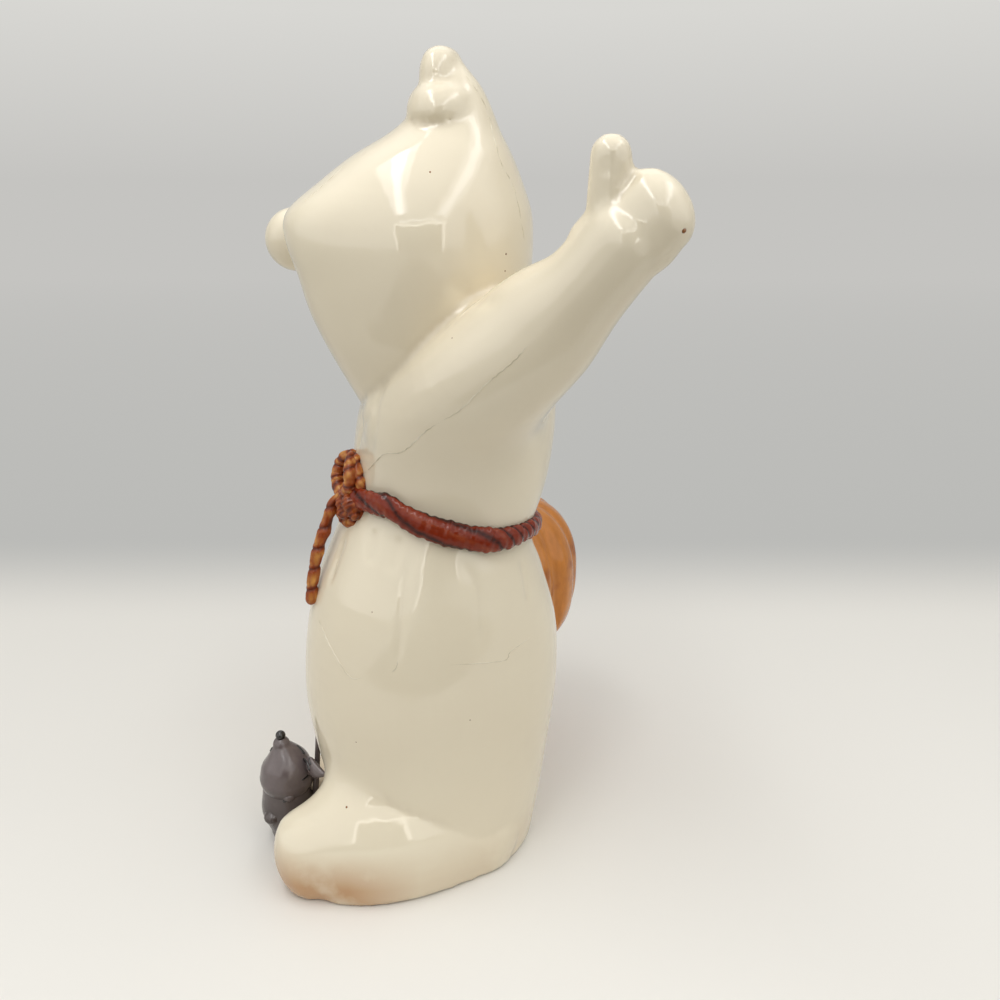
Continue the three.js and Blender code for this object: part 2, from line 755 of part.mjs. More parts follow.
function makeShortEnd() {
  const longEnd = cordEndOuter(longEndSide, longEndLength, clearance);
  return largestPiece(underBow(cordEndOuter(shortEndSide, shortEndLength)).subtract(longEnd));
}

// Mouse

const robeFoot = robeSections[0];
const mousePlace = [mouseSide, robeFoot.y - robeFoot.halfDepth - mouseAhead, 0];
const mouseSizes = [mouseWidth / 2, mouseWidth / 2, mouseHeight];
const mouseBodyPath = sizedPath(mouseBodyForm, [0, 0, 0], mouseSizes, mouseWidth);
const mouseHeadPath = sizedPath(mouseHeadForm, [0, 0, 0], mouseSizes, mouseWidth);

function placedMouse(solid) {
  return solid.rotate([0, 0, mouseTurn]).translate(mousePlace);
}

function mouseBodySolid(grow = 0) {
  return limb(mouseBodyPath, { steps: 6, sides: 14, grow, roundStart: true, up: [0, 1, 0] });
}

function mouseHeadSolid(grow = 0) {
  return limb(mouseHeadPath, { steps: 6, sides: 14, grow, roundStart: true, up: [0, 1, 0] });
}

function mouseTailSolid(grow = 0) {
  const path = mouseTailForm.map((shares, index) => {
    const share = index / (mouseTailForm.length - 1);
    const radius = THREE.MathUtils.lerp(mouseTailDiameter, mouseTailTipDiameter, share) / 2;
    const at = shares.map((value, axis) => value * mouseSizes[axis]);
    return { at, halfWidth: radius, halfHeight: radius };
  });
  return limb(path, { steps: 12, sides: 8, grow, roundStart: true, up: [0, 1, 0] });
}

function mouseSeat() {
  return mouseBodySolid(clearance).add(mouseHeadSolid(clearance)).add(mouseTailSolid(clearance));
}

function robeFromMouse() {
  return robeSeat.translate(mousePlace.map((value) => -value)).rotate([0, 0, -mouseTurn]);
}

function makeMouseBody() {
  return largestPiece(aboveFloor(mouseBodySolid()).subtract(robeFromMouse()));
}

function makeMouseHead() {
  return largestPiece(mouseHeadSolid().subtract(mouseBodySolid(clearance)).subtract(robeFromMouse()));
}

function makeMouseEar(side) {
  const radius = mouseEarDiameter / 2;
  const [x, y, z] = mouseEarAt.map((share, axis) => share * mouseSizes[axis]);
  const ear = ball([side * x, y, z], [radius, mouseEarThickness / 2, radius], 10);
  return largestPiece(ear.subtract(mouseSeat()).subtract(robeFromMouse()));
}

function makeMouseNose() {
  const tip = mouseHeadPath.at(-1);
  const radius = mouseNoseDiameter / 2;
  const place = [tip.at[0], tip.at[1], tip.at[2] + tip.halfWidth + mouseNoseStandOut];
  return largestPiece(ball(place, [radius, radius, radius], 10).subtract(mouseHeadSolid(clearance)));
}

function makeMouseTail() {
  const rest = mouseBodySolid(clearance).add(mouseHeadSolid(clearance));
  return largestPiece(aboveFloor(mouseTailSolid()).subtract(rest).subtract(robeFromMouse()));
}

// The figurine

const figurine = new THREE.Group();

function glaze(color, roughness = 0.15) {
  return new THREE.MeshStandardMaterial({ color, roughness, metalness: 0 });
}

function addPiece(group, name, solid, color, roughness) {
  const mesh = new THREE.Mesh(toGeometry(solid), glaze(color, roughness));
  mesh.name = name;
  group.add(mesh);
}

addPiece(figurine, 'robe_body', makeRobe(), ivory);
addPiece(figurine, 'head', makeHead(), ivory);
addPiece(figurine, 'hood_roll_lower', makeLowerRoll(), ivory);
addPiece(figurine, 'hood_roll_upper', makeUpperRoll(), ivory);
addPiece(figurine, 'nose', makeNose(), ivory);
addPiece(figurine, 'raised_arm', makeRaisedArm(), ivory);
addPiece(figurine, 'pumpkin_arm', makePumpkinArm(), ivory);
addPiece(figurine, 'left_foot', makeFoot(leftFootPath), ivory);
addPiece(figurine, 'right_foot', makeFoot(rightFootPath), ivory);
addPiece(figurine, 'pumpkin', makePumpkin(), pumpkinOrange);
addPiece(figurine, 'pumpkin_stem', makeStem(), beltBrown);
addPiece(figurine, 'rope_belt', makeBelt(), beltBrown);
addPiece(figurine, 'bow_knot', makeKnot(), ropeBrown);
addPiece(figurine, 'bow_loop_left', makeLoop(1), ropeBrown);
addPiece(figurine, 'bow_loop_right', makeLoop(-1), ropeBrown);
addPiece(figurine, 'cord_end_short', makeShortEnd(), ropeBrown);
addPiece(figurine, 'cord_end_long', makeLongEnd(), ropeBrown);

const mouse = new THREE.Group();
mouse.position.set(...mousePlace);
mouse.rotation.z = THREE.MathUtils.degToRad(mouseTurn);
addPiece(mouse, 'mouse_body', makeMouseBody(), mouseGrey, 0.3);
addPiece(mouse, 'mouse_head', makeMouseHead(), mouseGrey, 0.3);
addPiece(mouse, 'mouse_ear_left', makeMouseEar(1), mouseGrey, 0.3);
addPiece(mouse, 'mouse_ear_right', makeMouseEar(-1), mouseGrey, 0.3);
addPiece(mouse, 'mouse_nose', makeMouseNose(), nearBlack, 0.2);
addPiece(mouse, 'mouse_tail', makeMouseTail(), mouseGrey, 0.3);
figurine.add(mouse);

export default figurine;
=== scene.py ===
"""Cast ceramic ghost with a rope belt, a pumpkin and a mouse, glazed and set on a pale table."""

import math

import bmesh
import bpy
import numpy as np
from mathutils import Matrix, Vector
from mathutils.bvhtree import BVHTree


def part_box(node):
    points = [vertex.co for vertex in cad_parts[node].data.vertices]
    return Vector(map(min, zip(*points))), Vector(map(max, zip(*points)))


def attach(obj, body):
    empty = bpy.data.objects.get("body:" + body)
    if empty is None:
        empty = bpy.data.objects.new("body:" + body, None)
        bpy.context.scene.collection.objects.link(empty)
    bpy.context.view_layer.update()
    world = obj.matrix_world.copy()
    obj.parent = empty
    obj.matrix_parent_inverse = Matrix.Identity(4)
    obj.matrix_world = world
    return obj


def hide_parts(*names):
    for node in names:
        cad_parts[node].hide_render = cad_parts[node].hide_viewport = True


bl_info = {
    "name": "Ceramic Ghost Figurine",
    "version": (1, 0, 0),
    "blender": (4, 5, 0),
    "location": "View3D > Sidebar > Figurine",
    "description": "Models and glazes a cast ceramic ghost with a rope belt, a pumpkin and a mouse",
    "category": "Add Mesh",
}

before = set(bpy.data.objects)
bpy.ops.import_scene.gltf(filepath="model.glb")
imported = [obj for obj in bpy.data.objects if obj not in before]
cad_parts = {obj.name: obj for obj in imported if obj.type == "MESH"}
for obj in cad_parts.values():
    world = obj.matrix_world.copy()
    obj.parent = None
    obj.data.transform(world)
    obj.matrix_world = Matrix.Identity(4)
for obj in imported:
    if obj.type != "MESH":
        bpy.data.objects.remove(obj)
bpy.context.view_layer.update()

MM = 0.001
# Steps round a ball end, and points along a curve between two of its given points
BALL_STEPS = 8
LINE_STEPS = 12

# The photograph's camera, in millimetres, and its focal length in the photograph's pixels
CAMERA_PLACE = np.array((291.5, -76.3, 238.4))
CAMERA_AHEAD = np.array((-0.8876, 0.3231, -0.3282))
CAMERA_RIGHT = np.array((0.3420, 0.9397, 0.0))
CAMERA_UP = np.array((-0.3085, 0.1122, 0.9448))
CAMERA_FOCUS = 924
PHOTO_SIZE = 1000


def linear(code):
    """An sRGB hex colour as linear red, green and blue."""
    parts = [int(code[i : i + 2], 16) / 255 for i in (0, 2, 4)]
    return tuple(p / 12.92 if p <= 0.04045 else ((p + 0.055) / 1.055) ** 2.4 for p in parts)


# Sizes and colours that a user may change


def user_length(name, description, size):
    """A length that a user may change, given in millimetres."""
    return bpy.props.FloatProperty(name=name, description=description, default=size * MM, unit="LENGTH")


def user_colour(name, description, code):
    """A colour that a user may change."""
    return bpy.props.FloatVectorProperty(
        name=name, description=description, default=linear(code), subtype="COLOR"
    )


class FigurineSizes(bpy.types.PropertyGroup):
    face_size: user_length("Face Size", "Length of the faces that the cast surface is made of", 1.13)
    shoulder_fillet: user_length("Shoulder Fillet", "Radius where the arms run into the robe", 14)
    foot_fillet: user_length("Foot Fillet", "Radius where a foot runs into the robe", 6)
    cord_bulge: bpy.props.FloatProperty(
        name="Cord Bulge",
        description="Length of the bulges of the bow's rope as a share of the real one's",
        default=1.0,
        subtype="FACTOR",
    )


class FigurineColours(bpy.types.PropertyGroup):
    ivory: user_colour("Ivory", "Cream underglaze of the ghost", "E8DDC5")
    stain: user_colour("Kiln Stain", "Peach flashing where the glaze is thin near the table", "BD9266")
    belt: user_colour("Belt", "Red brown brushed on the belt", "7C2A14")
    cord: user_colour("Cord", "Golden brown brushed on the strands of the bow", "93441F")
    pumpkin: user_colour("Pumpkin", "Orange of the pumpkin", "CC8236")
    mouse: user_colour("Mouse", "Warm grey of the mouse", "6B6060")


# Curves and skins, in millimetres


def smooth_rows(rows, steps):
    """Rows of numbers along the smooth curve through the given rows."""
    rows = np.array(rows, float)
    ends = np.vstack([2 * rows[0] - rows[1], rows, 2 * rows[-1] - rows[-2]])
    result = []
    for position in np.linspace(0, len(rows) - 1, steps + 1):
        index = min(int(position), len(rows) - 2)
        t = position - index
        before, start, end, after = ends[index : index + 4]
        leave, arrive = (end - before) / 2, (after - start) / 2
        bend = (3 * (end - start) - 2 * leave - arrive) * t**2
        result.append(start + leave * t + bend + (2 * (start - end) + leave + arrive) * t**3)
    return np.array(result)


def turned(points, degrees):
    """Points turned about the upright axis."""
    angle = math.radians(degrees)
    cos, sin = math.cos(angle), math.sin(angle)
    return points @ np.array(((cos, sin, 0), (-sin, cos, 0), (0, 0, 1)))


def level_sections(form, size, steps):
    """Level sections, each (up, back, wide, deep, tilt, lean, flat) in shares of the size, as lengths."""
    width, depth, height = size
    return smooth_rows(np.array(form) * (height, depth / 2, width / 2, depth / 2, 1, 1, 1), steps)


def level_rings(form, base, size, steps, sides, turn=0):
    """A form's level sections as rings, which are flat in front where a section's power is over 2."""
    angles = np.linspace(0, 2 * math.pi, sides, endpoint=False)
    cos, sin = np.cos(angles), np.sin(angles)
    rings = []
    for z, y, half_width, half_depth, tilt, lean, flat in level_sections(form, size, steps):
        power = np.where(sin < 0, 2 / flat, 1)
        dx = np.sign(cos) * np.abs(cos) ** power * half_width
        dy = np.sign(sin) * np.abs(sin) ** power * half_depth
        rings.append(turned(np.stack([dx, y + dy, base + z + tilt * dy + lean * dx], 1), turn))
    return rings


def limb_rings(stations, steps, sides, round_start=False, round_end=True, over=(0, 0, 1)):
    """Round sections along a path of (x, y, z, half width, half height), with ball ends."""
    rows = smooth_rows(stations, steps)
    places = rows[:, :3]
    ahead = np.gradient(places, axis=0)
    ahead /= np.linalg.norm(ahead, axis=1)[:, None]
    across = np.cross(np.array(over, float), ahead)
    across /= np.linalg.norm(across, axis=1)[:, None]
    upward = np.cross(ahead, across)
    angles = np.linspace(0, 2 * math.pi, sides, endpoint=False)
    cos, sin = np.cos(angles)[:, None], np.sin(angles)[:, None]

    def ring(index, shift, shrink):
        centre = places[index] + ahead[index] * shift
        half_width, half_height = rows[index, 3:5] * shrink
        return centre + cos * across[index] * half_width + sin * upward[index] * half_height

    def ball_end(index, direction):
        reach = min(rows[index, 3:5])
        turns = [math.pi / 2 * step / BALL_STEPS for step in range(1, BALL_STEPS)]
        return [ring(index, direction * reach * math.sin(a), math.cos(a)) for a in turns]

    rings = [ring(index, 0, 1) for index in range(len(rows))]
    if round_start:
        rings = ball_end(0, -1)[::-1] + rings
    if round_end:
        rings = rings + ball_end(len(rows) - 1, 1)
    return rings


def sized(form, start, size, width, height=None):
    """A limb's stations in millimetres from shares of its length and width."""
    start, length = np.array(start), np.array(size, float)
    half_width, half_height = width / 2, (height or width) / 2
    return [(*(start + np.array(at) * length), w * half_width, h * half_height) for at, w, h in form]


def loft(shape, rings, closed=False):
    """A skin drawn out of a circle, ring by ring, and closed at both ends or on itself."""
    count = len(rings[0])
    ring = bmesh.ops.create_circle(shape, segments=count, radius=1)["verts"]
    first = ring
    for vertex, point in zip(ring, rings[0]):
        vertex.co = Vector(point) * MM
    for points in rings[1:]:
        edges = [shape.edges.get((ring[i], ring[i - 1])) for i in range(count)]
        drawn = set(bmesh.ops.extrude_edge_only(shape, edges=edges)["geom"])
        ring = [next(e.other_vert(v) for e in v.link_edges if e.other_vert(v) in drawn) for v in ring]
        for vertex, point in zip(ring, points):
            vertex.co = Vector(point) * MM
    ends = [[shape.edges.get((loop[i], loop[i - 1])) for i in range(count)] for loop in (first, ring)]
    if closed:
        bmesh.ops.bridge_loops(shape, edges=ends[0] + ends[1])
    else:
        for edges in ends:
            bmesh.ops.holes_fill(shape, edges=edges, sides=0)


def stand_on_table(shape):
    """Cuts a closed skin off at the table and closes it again."""
    everything = [*shape.verts, *shape.edges, *shape.faces]
    bmesh.ops.bisect_plane(shape, geom=everything, plane_co=(0, 0, 0), plane_no=(0, 0, 1), clear_inner=True)
    bmesh.ops.holes_fill(shape, edges=[e for e in shape.edges if e.is_boundary], sides=0)


def new_piece(shape, name, material, nodes=()):
    """A bmesh as a piece that rides on the figurine, and stands for the given CAD nodes."""
    bmesh.ops.recalc_face_normals(shape, faces=shape.faces)
    for face in shape.faces:
        face.smooth = True
    mesh = bpy.data.meshes.new(name)
    shape.to_mesh(mesh)
    shape.free()
    piece = bpy.data.objects.new(name, mesh)
    bpy.context.scene.collection.objects.link(piece)
    dress(piece, material, nodes)
    return piece


def dress(piece, material, nodes):
    """Gives a piece its material and its place in the record."""
    piece.data.materials.clear()
    piece.data.materials.append(material)
    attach(piece, "root")
    if nodes:
        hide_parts(*nodes)


def fuse(piece, face_size):
    """Overlapping skins as one cast surface of even faces."""
    remesh = piece.modifiers.new("Cast", "REMESH")
    remesh.mode = "VOXEL"
    remesh.voxel_size = face_size
    remesh.use_smooth_shade = True
    shown = piece.evaluated_get(bpy.context.evaluated_depsgraph_get())
    mesh = bpy.data.meshes.new_from_object(shown)
    mesh.name = piece.name
    piece.modifiers.clear()
    old = piece.data
    piece.data = mesh
    bpy.data.meshes.remove(old)


# Modelling on a cast surface


class Clay:
    """A mesh's points as one array in millimetres, to be smoothed, filled and pressed."""

    def __init__(self, piece):
        self.mesh = piece.data
        count = len(self.mesh.vertices)
        self.points = np.empty(count * 3)
        self.mesh.vertices.foreach_get("co", self.points)
        self.points = self.points.reshape(-1, 3) / MM
        self.edges = np.empty(len(self.mesh.edges) * 2, np.int64)
        self.mesh.edges.foreach_get("vertices", self.edges)
        self.edges = self.edges.reshape(-1, 2)
        self.degree = np.bincount(self.edges.ravel(), minlength=count)

    def store(self):
        """Puts the points back in the mesh."""
        self.mesh.vertices.foreach_set("co", (self.points * MM).ravel())
        self.mesh.update()

    def normals(self):
        """The outward direction at each point."""
        self.store()
        values = np.empty(len(self.points) * 3, np.float32)
        self.mesh.vertex_normals.foreach_get("vector", values)
        return values.reshape(-1, 3).astype(float)

    def mean(self, values):
        """The average of each point's neighbours."""
        first, second = self.edges.T
        total = np.empty_like(values)
        for axis in range(values.shape[1]):
            column = values[:, axis]
            total[:, axis] = np.bincount(first, column[second], len(values))
            total[:, axis] += np.bincount(second, column[first], len(values))
        return total / self.degree[:, None]

    def relax(self, rounds):
        """Smooths the surface and keeps its volume."""
        for step in range(2 * rounds):
            share = 0.5 if step % 2 == 0 else -0.52
            self.points += share * (self.mean(self.points) - self.points)

    def soften(self, weight, rounds):
        """Melts the surface where the weight is above 0."""
        for _ in range(rounds):
            self.points += 0.5 * weight[:, None] * (self.mean(self.points) - self.points)

    def fill(self, radius, rounds):
        """Fills hollows until none is tighter than the radius at its place."""
        first, second = self.edges.T
        length = np.linalg.norm(self.points[first] - self.points[second], axis=1).mean()
        limit = 0.5 * length**2 / radius
        for step in range(rounds):
            if step % 10 == 0:
                normals = self.normals()
            moves = self.mean(self.points) - self.points
            rise = np.einsum("ij,ij->i", moves, normals)
            self.points += (np.maximum(0, rise - limit) * 0.9)[:, None] * normals
            if step % 20 == 19:
                self.points += 0.3 * (self.mean(self.points) - self.points) * (rise > limit)[:, None]

    def tree(self):
        """The surface as a tree that lines of sight are tested against."""
        self.store()
        polygons = [tuple(p.vertices) for p in self.mesh.polygons]
        return BVHTree.FromPolygons((self.points * MM).tolist(), polygons)

    def line(self, tree, pixels):
        """A line drawn on the surface through pixels of the photograph."""
        rows = smooth_rows(pixels, LINE_STEPS * (len(pixels) - 1))
        places = [sight_meets(tree, *row) for row in rows]
        return np.array([place for place, _ in places if place is not None])

    def press(self, line, width, depth):
        """Moves the surface in along a line, or out where depth is negative."""
        low, high = line.min(0) - 3 * width, line.max(0) + 3 * width
        near = np.flatnonzero(((self.points > low) & (self.points < high)).all(1))
        gaps = np.linalg.norm(self.points[near][:, None] - line[None], axis=2)
        nearest = gaps.argmin(1)
        share = nearest / max(1, len(line) - 1)
        ends = np.minimum(1, 5 * np.minimum(share, 1 - share))
        drop = depth * np.exp(-((gaps.min(1) / width) ** 2)) * ends
        self.points[near] -= drop[:, None] * self.normals()[near]


def sight_meets(tree, x, y):
    """The place and normal where the line of sight through a pixel meets a surface."""
    aside, above = (x - PHOTO_SIZE / 2) / CAMERA_FOCUS, (PHOTO_SIZE / 2 - y) / CAMERA_FOCUS
    sight = CAMERA_AHEAD + CAMERA_RIGHT * aside + CAMERA_UP * above
    place, normal, _, _ = tree.ray_cast(Vector(CAMERA_PLACE * MM), Vector(sight).normalized())
    if place is None:
        return None, None
    return np.array(place) / MM, np.array(normal)


# Node materials

# What makes a Mix node mix colours, whose inputs are then 0 the share, 6 and 7 the colours
COLOUR_MIX = {"output": 2, "data_type": "RGBA"}


def add_node(owner, kind, inputs=None, output=0, **settings):
    """Adds a node with its settings, fills or links its inputs, and returns the output asked for."""
    tree = owner.node_tree
    node = tree.nodes.new("ShaderNode" + kind)
    for name, value in settings.items():
        setattr(node, name, value)
    for name, value in (inputs or {}).items():
        if isinstance(value, bpy.types.NodeSocket):
            tree.links.new(value, node.inputs[name])
        else:
            node.inputs[name].default_value = value
    return node.outputs[output] if node.outputs else None


def new_material(name):
    """An empty node material, and the place on the piece in metres that its patterns go by."""
    material = bpy.data.materials.new(name)
    material.use_nodes = True
    material.node_tree.nodes.clear()
    return material, add_node(material, "TexCoord", output="Object")


def colour(value):
    """A hex code or a user's colour with its fourth part."""
    return (*(linear(value) if isinstance(value, str) else value), 1.0)


def within(owner, *spans):
    """The share to which all values have gone through their spans, each (value, start, end)."""
    share = 1.0
    for value, start, end in spans:
        share = add_node(owner, "MapRange", {0: value, 1: start, 2: end, 4: share})
    return share


def clouded(material, place, grain, first, second, span=(0.35, 0.65), detail=3.0, rough=0.5):
    """A colour that drifts from the first to the second in clouds about grain metres wide."""
    inputs = {"Vector": place, "Scale": 1 / grain, "Detail": detail, "Roughness": rough}
    cloud = within(material, (add_node(material, "TexNoise", inputs), *span))
    return add_node(material, "Mix", {0: cloud, 6: first, 7: second}, **COLOUR_MIX)


def glazed(material, place, base, roughness, wave, depth, shine=0.5, detail=3.0):
    """Glaze fired over a coloured ground: a hard wet shine, broken by slow waves of a real length."""
    height = add_node(material, "TexNoise", {"Vector": place, "Scale": 1 / wave, "Detail": detail})
    relief = add_node(material, "Bump", {"Height": height, "Strength": 1.0, "Distance": depth})
    inputs = {"Base Color": base, "Roughness": roughness, "IOR": 1.52, "Specular IOR Level": shine}
    surface = add_node(material, "BsdfPrincipled", {**inputs, "Normal": relief})
    add_node(material, "OutputMaterial", {"Surface": surface})


def ivory_glaze():
    """Cream earthenware, cast from slip and dipped in clear glaze.

    The eye sees a wet, slightly uneven cream. The hollows are painted darker, as painted shade and as glaze
    that pools there, the thin glaze round the toes flashes peach in the kiln, and iron in the clay bleeds
    through as small specks.
    """
    colours = bpy.context.scene.figurine_colours
    material, place = new_material("Ivory Glazed Earthenware")
    back, up = (add_node(material, "SeparateXYZ", {"Vector": place}, axis) for axis in "YZ")
    ground = clouded(material, place, 45 * MM, colour(colours.ivory), colour("EBE1C9"), (0.35, 0.7))
    patches = add_node(material, "TexNoise", {"Vector": place, "Scale": 1 / (24 * MM), "Detail": 5.0})
    stain = within(material, (up, 23 * MM, 8 * MM), (patches, 0.34, 0.56))
    toes = add_node(material, "MapRange", {0: back, 1: -14 * MM, 2: -38 * MM, 3: 0.19, 4: 0.95})
    stain = add_node(material, "Math", {0: stain, 1: toes}, operation="MULTIPLY")
    ground = add_node(material, "Mix", {0: stain, 6: ground, 7: colour(colours.stain)}, **COLOUR_MIX)
    # Painted shade: the hollows are darkened to a tan, together with the glaze that pools there
    pooled = add_node(material, "Attribute", output="Fac", attribute_name="pooled")
    pooled = add_node(material, "Math", {0: pooled, 1: 0.25}, operation="MULTIPLY")
    ground = add_node(material, "Mix", {0: pooled, 6: ground, 7: colour("B7A68A")}, **COLOUR_MIX)
    # One spot to each cell of 16 mm, in 28 of 100 cells
    inputs = {"Vector": place, "Scale": 1 / (16 * MM)}
    spot, lot = (add_node(material, "TexVoronoi", inputs, name) for name in ("Distance", "Color"))
    lot = add_node(material, "SeparateColor", {"Color": lot}, "Red")
    lot = add_node(material, "Math", {0: lot, 1: 0.72}, operation="GREATER_THAN")
    spot = add_node(material, "MapRange", {0: spot, 1: 0.03, 2: 0.018, 4: 0.75})
    spot = add_node(material, "Math", {0: spot, 1: lot}, operation="MULTIPLY")
    ground = add_node(material, "Mix", {0: spot, 6: ground, 7: colour("6E5B45")}, **COLOUR_MIX)
    glazed(material, place, ground, 0.07, 13 * MM, 0.25 * MM, detail=2.0)
    return material


def brushed_glaze(name, groove, body, ridge, grain, rough, rare=0.0):
    """Stain brushed on moulded strands, wiped back and glazed.

    The eye sees it dark where it stays in the grooves and pale, in patches, where the brush or the
    sponge took it off the ridges. The grain is the width of the brush's streaks in metres, and rare
    says how seldom a ridge was wiped.
    """
    material, place = new_material(name)
    strand, along, brush = (
        add_node(material, "Attribute", output=output, attribute_name=key)
        for key, output in (("strand", "Fac"), ("along", "Fac"), ("brush", "Vector"))
    )
    inputs = {"Vector": brush, "Scale": 1 / grain, "Detail": 4.0, "Roughness": 0.6}
    streaks = add_node(material, "TexNoise", inputs)
    # On the belt the strand height is 0 on the side next to the robe, so the groove colour there is painted
    # shade
    level = add_node(material, "Math", {0: streaks, 1: 0.5, 2: strand}, operation="MULTIPLY_ADD")
    depth = within(material, (level, 0.45, 0.95))
    ground = add_node(material, "Mix", {0: depth, 6: colour(groove), 7: colour(body)}, **COLOUR_MIX)
    patches = add_node(material, "TexNoise", {"Vector": place, "Scale": 1 / (5 * MM), "Detail": 3.0})
    ridges = (level, 0.85 + rare / 2, 1.25 + rare / 4)
    light = within(material, (along, 1.0, 0.45), (patches, 0.3, 0.6), ridges)
    ground = add_node(material, "Mix", {0: light, 6: ground, 7: colour(ridge)}, **COLOUR_MIX)
    glazed(material, place, ground, rough, 2.5 * MM, 0.12 * MM, 0.2)
    return material


# The cast ghost

ROBE_SIZE = (84, 92, 198)
ROBE_FORM = (
    (0, 0.02, 0.845, 0.86, 0, 0, 2),
    (0.09, 0.095, 0.87, 0.85, 0, 0, 2),
    (0.212, 0.08, 0.93, 0.942, 0, 0, 2),
    (0.343, 0.076, 1, 1, -0.03, 0, 2),
    (0.475, 0.109, 0.988, 0.946, -0.12, 0.01, 2),
    (0.586, 0.152, 0.917, 0.783, -0.2, 0.02, 2),
    (0.662, 0.178, 0.845, 0.663, -0.24, 0.03, 2),
    (0.747, 0.261, 0.893, 0.717, -0.15, 0.02, 2),
    (0.838, 0.315, 0.893, 0.707, 0, 0, 2),
    (0.929, 0.337, 0.762, 0.609, 0.1, 0, 2),
    (1, 0.337, 0.571, 0.478, 0.1, 0, 2),
)
RAISED_ARM = (
    ((0, 0, 0), 1, 0.931),
    ((0.239, 0.068, 0.2), 0.81, 0.69),
    ((0.443, 0.182, 0.398), 0.569, 0.585),
    ((0.568, 0.261, 0.528), 0.448, 0.428),
    ((0.665, 0.33, 0.665), 0.4, 0.407),
)
MITTEN = (
    ((-0.206, -0.176, -0.206), 0.794, 0.921),
    ((0.147, 0.147, 0.206), 0.73, 1),
    ((0.353, 0.353, 0.441), 0.651, 0.889),
)
THUMB = (
    ((-0.079, -0.105, -0.026), 1, 1),
    ((-0.053, -0.184, 0.58), 0.76, 0.78),
    ((0, -0.237, 1.08), 0.63, 0.65),
)
PUMPKIN_ARM = (
    ((0, 0, 0), 1, 0.917),
    ((-0.571, 0.119, -0.143), 0.708, 0.708),
    ((-1, 0.357, -0.524), 0.563, 0.583),
)
PUMPKIN_HAND = (
    ((-0.182, -0.104, 0.636), 0.5, 0.5),
    ((-0.299, -0.143, 0.377), 0.521, 0.417),
    ((-0.338, -0.221, 0.169), 0.458, 0.333),
)
LEFT_FOOT = (
    ((0, 0, 0.198), 0.867, 0.862),
    ((0.017, -0.345, 0.241), 1, 0.966),
    ((0.009, -0.621, 0.241), 0.976, 1),
    ((-0.017, -0.862, 0.233), 0.833, 0.879),
    ((-0.043, -1, 0.216), 0.667, 0.655),
)
RIGHT_FOOT = (
    ((0, 0, 0.229), 0.974, 1),
    ((-0.08, -0.36, 0.25), 1, 1),
    ((-0.14, -0.64, 0.167), 0.921, 0.729),
    ((-0.2, -0.88, 0.125), 0.789, 0.542),
    ((-0.22, -1, 0.104), 0.632, 0.458),
)
HEAD_SIZE = (71, 72.6, 106)
HEAD_BASE = 168
HEAD_TURN = -35
HEAD_FORM = (
    (0, -0.165, 0.394, 0.303, 0, 0, 2.2),
    (0.094, 0.083, 0.676, 0.661, 0, 0, 2.4),
    (0.198, 0.105, 0.845, 0.804, 0, 0, 2.6),
    (0.302, 0.099, 0.93, 0.901, 0, 0, 2.9),
    (0.406, 0.088, 0.986, 0.959, 0, 0, 3),
    (0.5, 0.061, 1, 1, 0, 0, 3.3),
    (0.575, 0.05, 0.958, 0.997, 0, 0, 3.1),
    (0.651, 0.121, 0.845, 0.854, 0, 0, 2.4),
    (0.726, 0.22, 0.662, 0.667, 0, 0, 2.1),
    (0.792, 0.342, 0.451, 0.446, 0, 0, 2),
    (0.849, 0.399, 0.32, 0.322, 0, 0, 2),
    (0.904, 0.391, 0.262, 0.248, 0, 0, 2),
    (0.942, 0.369, 0.2, 0.179, 0, 0, 2),
    (0.977, 0.353, 0.13, 0.105, 0, 0, 2),
    (1, 0.331, 0.06, 0.05, 0, 0, 2),
)
# Rolls at the peak: height of the underside, width, depth, height and place back in millimetres
ROLLS = ((254, 33, 22.6, 11.6, 12.7), (263.8, 21, 12.6, 10.8, 11.5))
ROLL_FORM = ((0, 0.86), (0.06, 0.97), (0.2, 1), (0.45, 0.97), (0.7, 0.86), (0.88, 0.68), (1, 0.42))
PUMPKIN_CENTRE = np.array((-55.2, 44.0, 79.0))
PUMPKIN_SIZE = (77, 77, 76)
PUMPKIN_GROOVES = 12
PUMPKIN_GROOVE_DEPTH = 2.4
PUMPKIN_DIMPLE = 5

# Hollows round these places are filled to a radius: middle and reach of the hand, and the toes
HAND_MIDDLE = (70, 37, 232)
HAND_REACH = 28
HAND_FILLET = 3
TOE_FILLET = 20
# Heights up to which the feet's, the toes' and the neck's fillets reach, and where the rolls' begin
FEET_TOP = 75
TOES_TOP = 56
NECK_TOP = 222
ROLLS_START = 245
# The pour hole in the floor, and the hollow over which the painted shade in hollows, with the glaze pooled
# there, is darkest
HOLE_PLACE = (0, 22)
HOLE_RADIUS = 13
HOLE_DEPTH = 8
SHADE_AND_POOL_ROUNDS = 14
SHADE_AND_POOL_DEPTH = 0.6
# Places that are melted smooth: middle, reach each way, firmness of the edge and rounds
MELTED = (
    ((30, 10, 150), (60, 60, 24), 1.6, 260),
    ((-34, 16, 148), (40, 50, 22), 1.6, 200),
    ((21, -38, 24), (26, 20, 30), 1.7, 240),
)
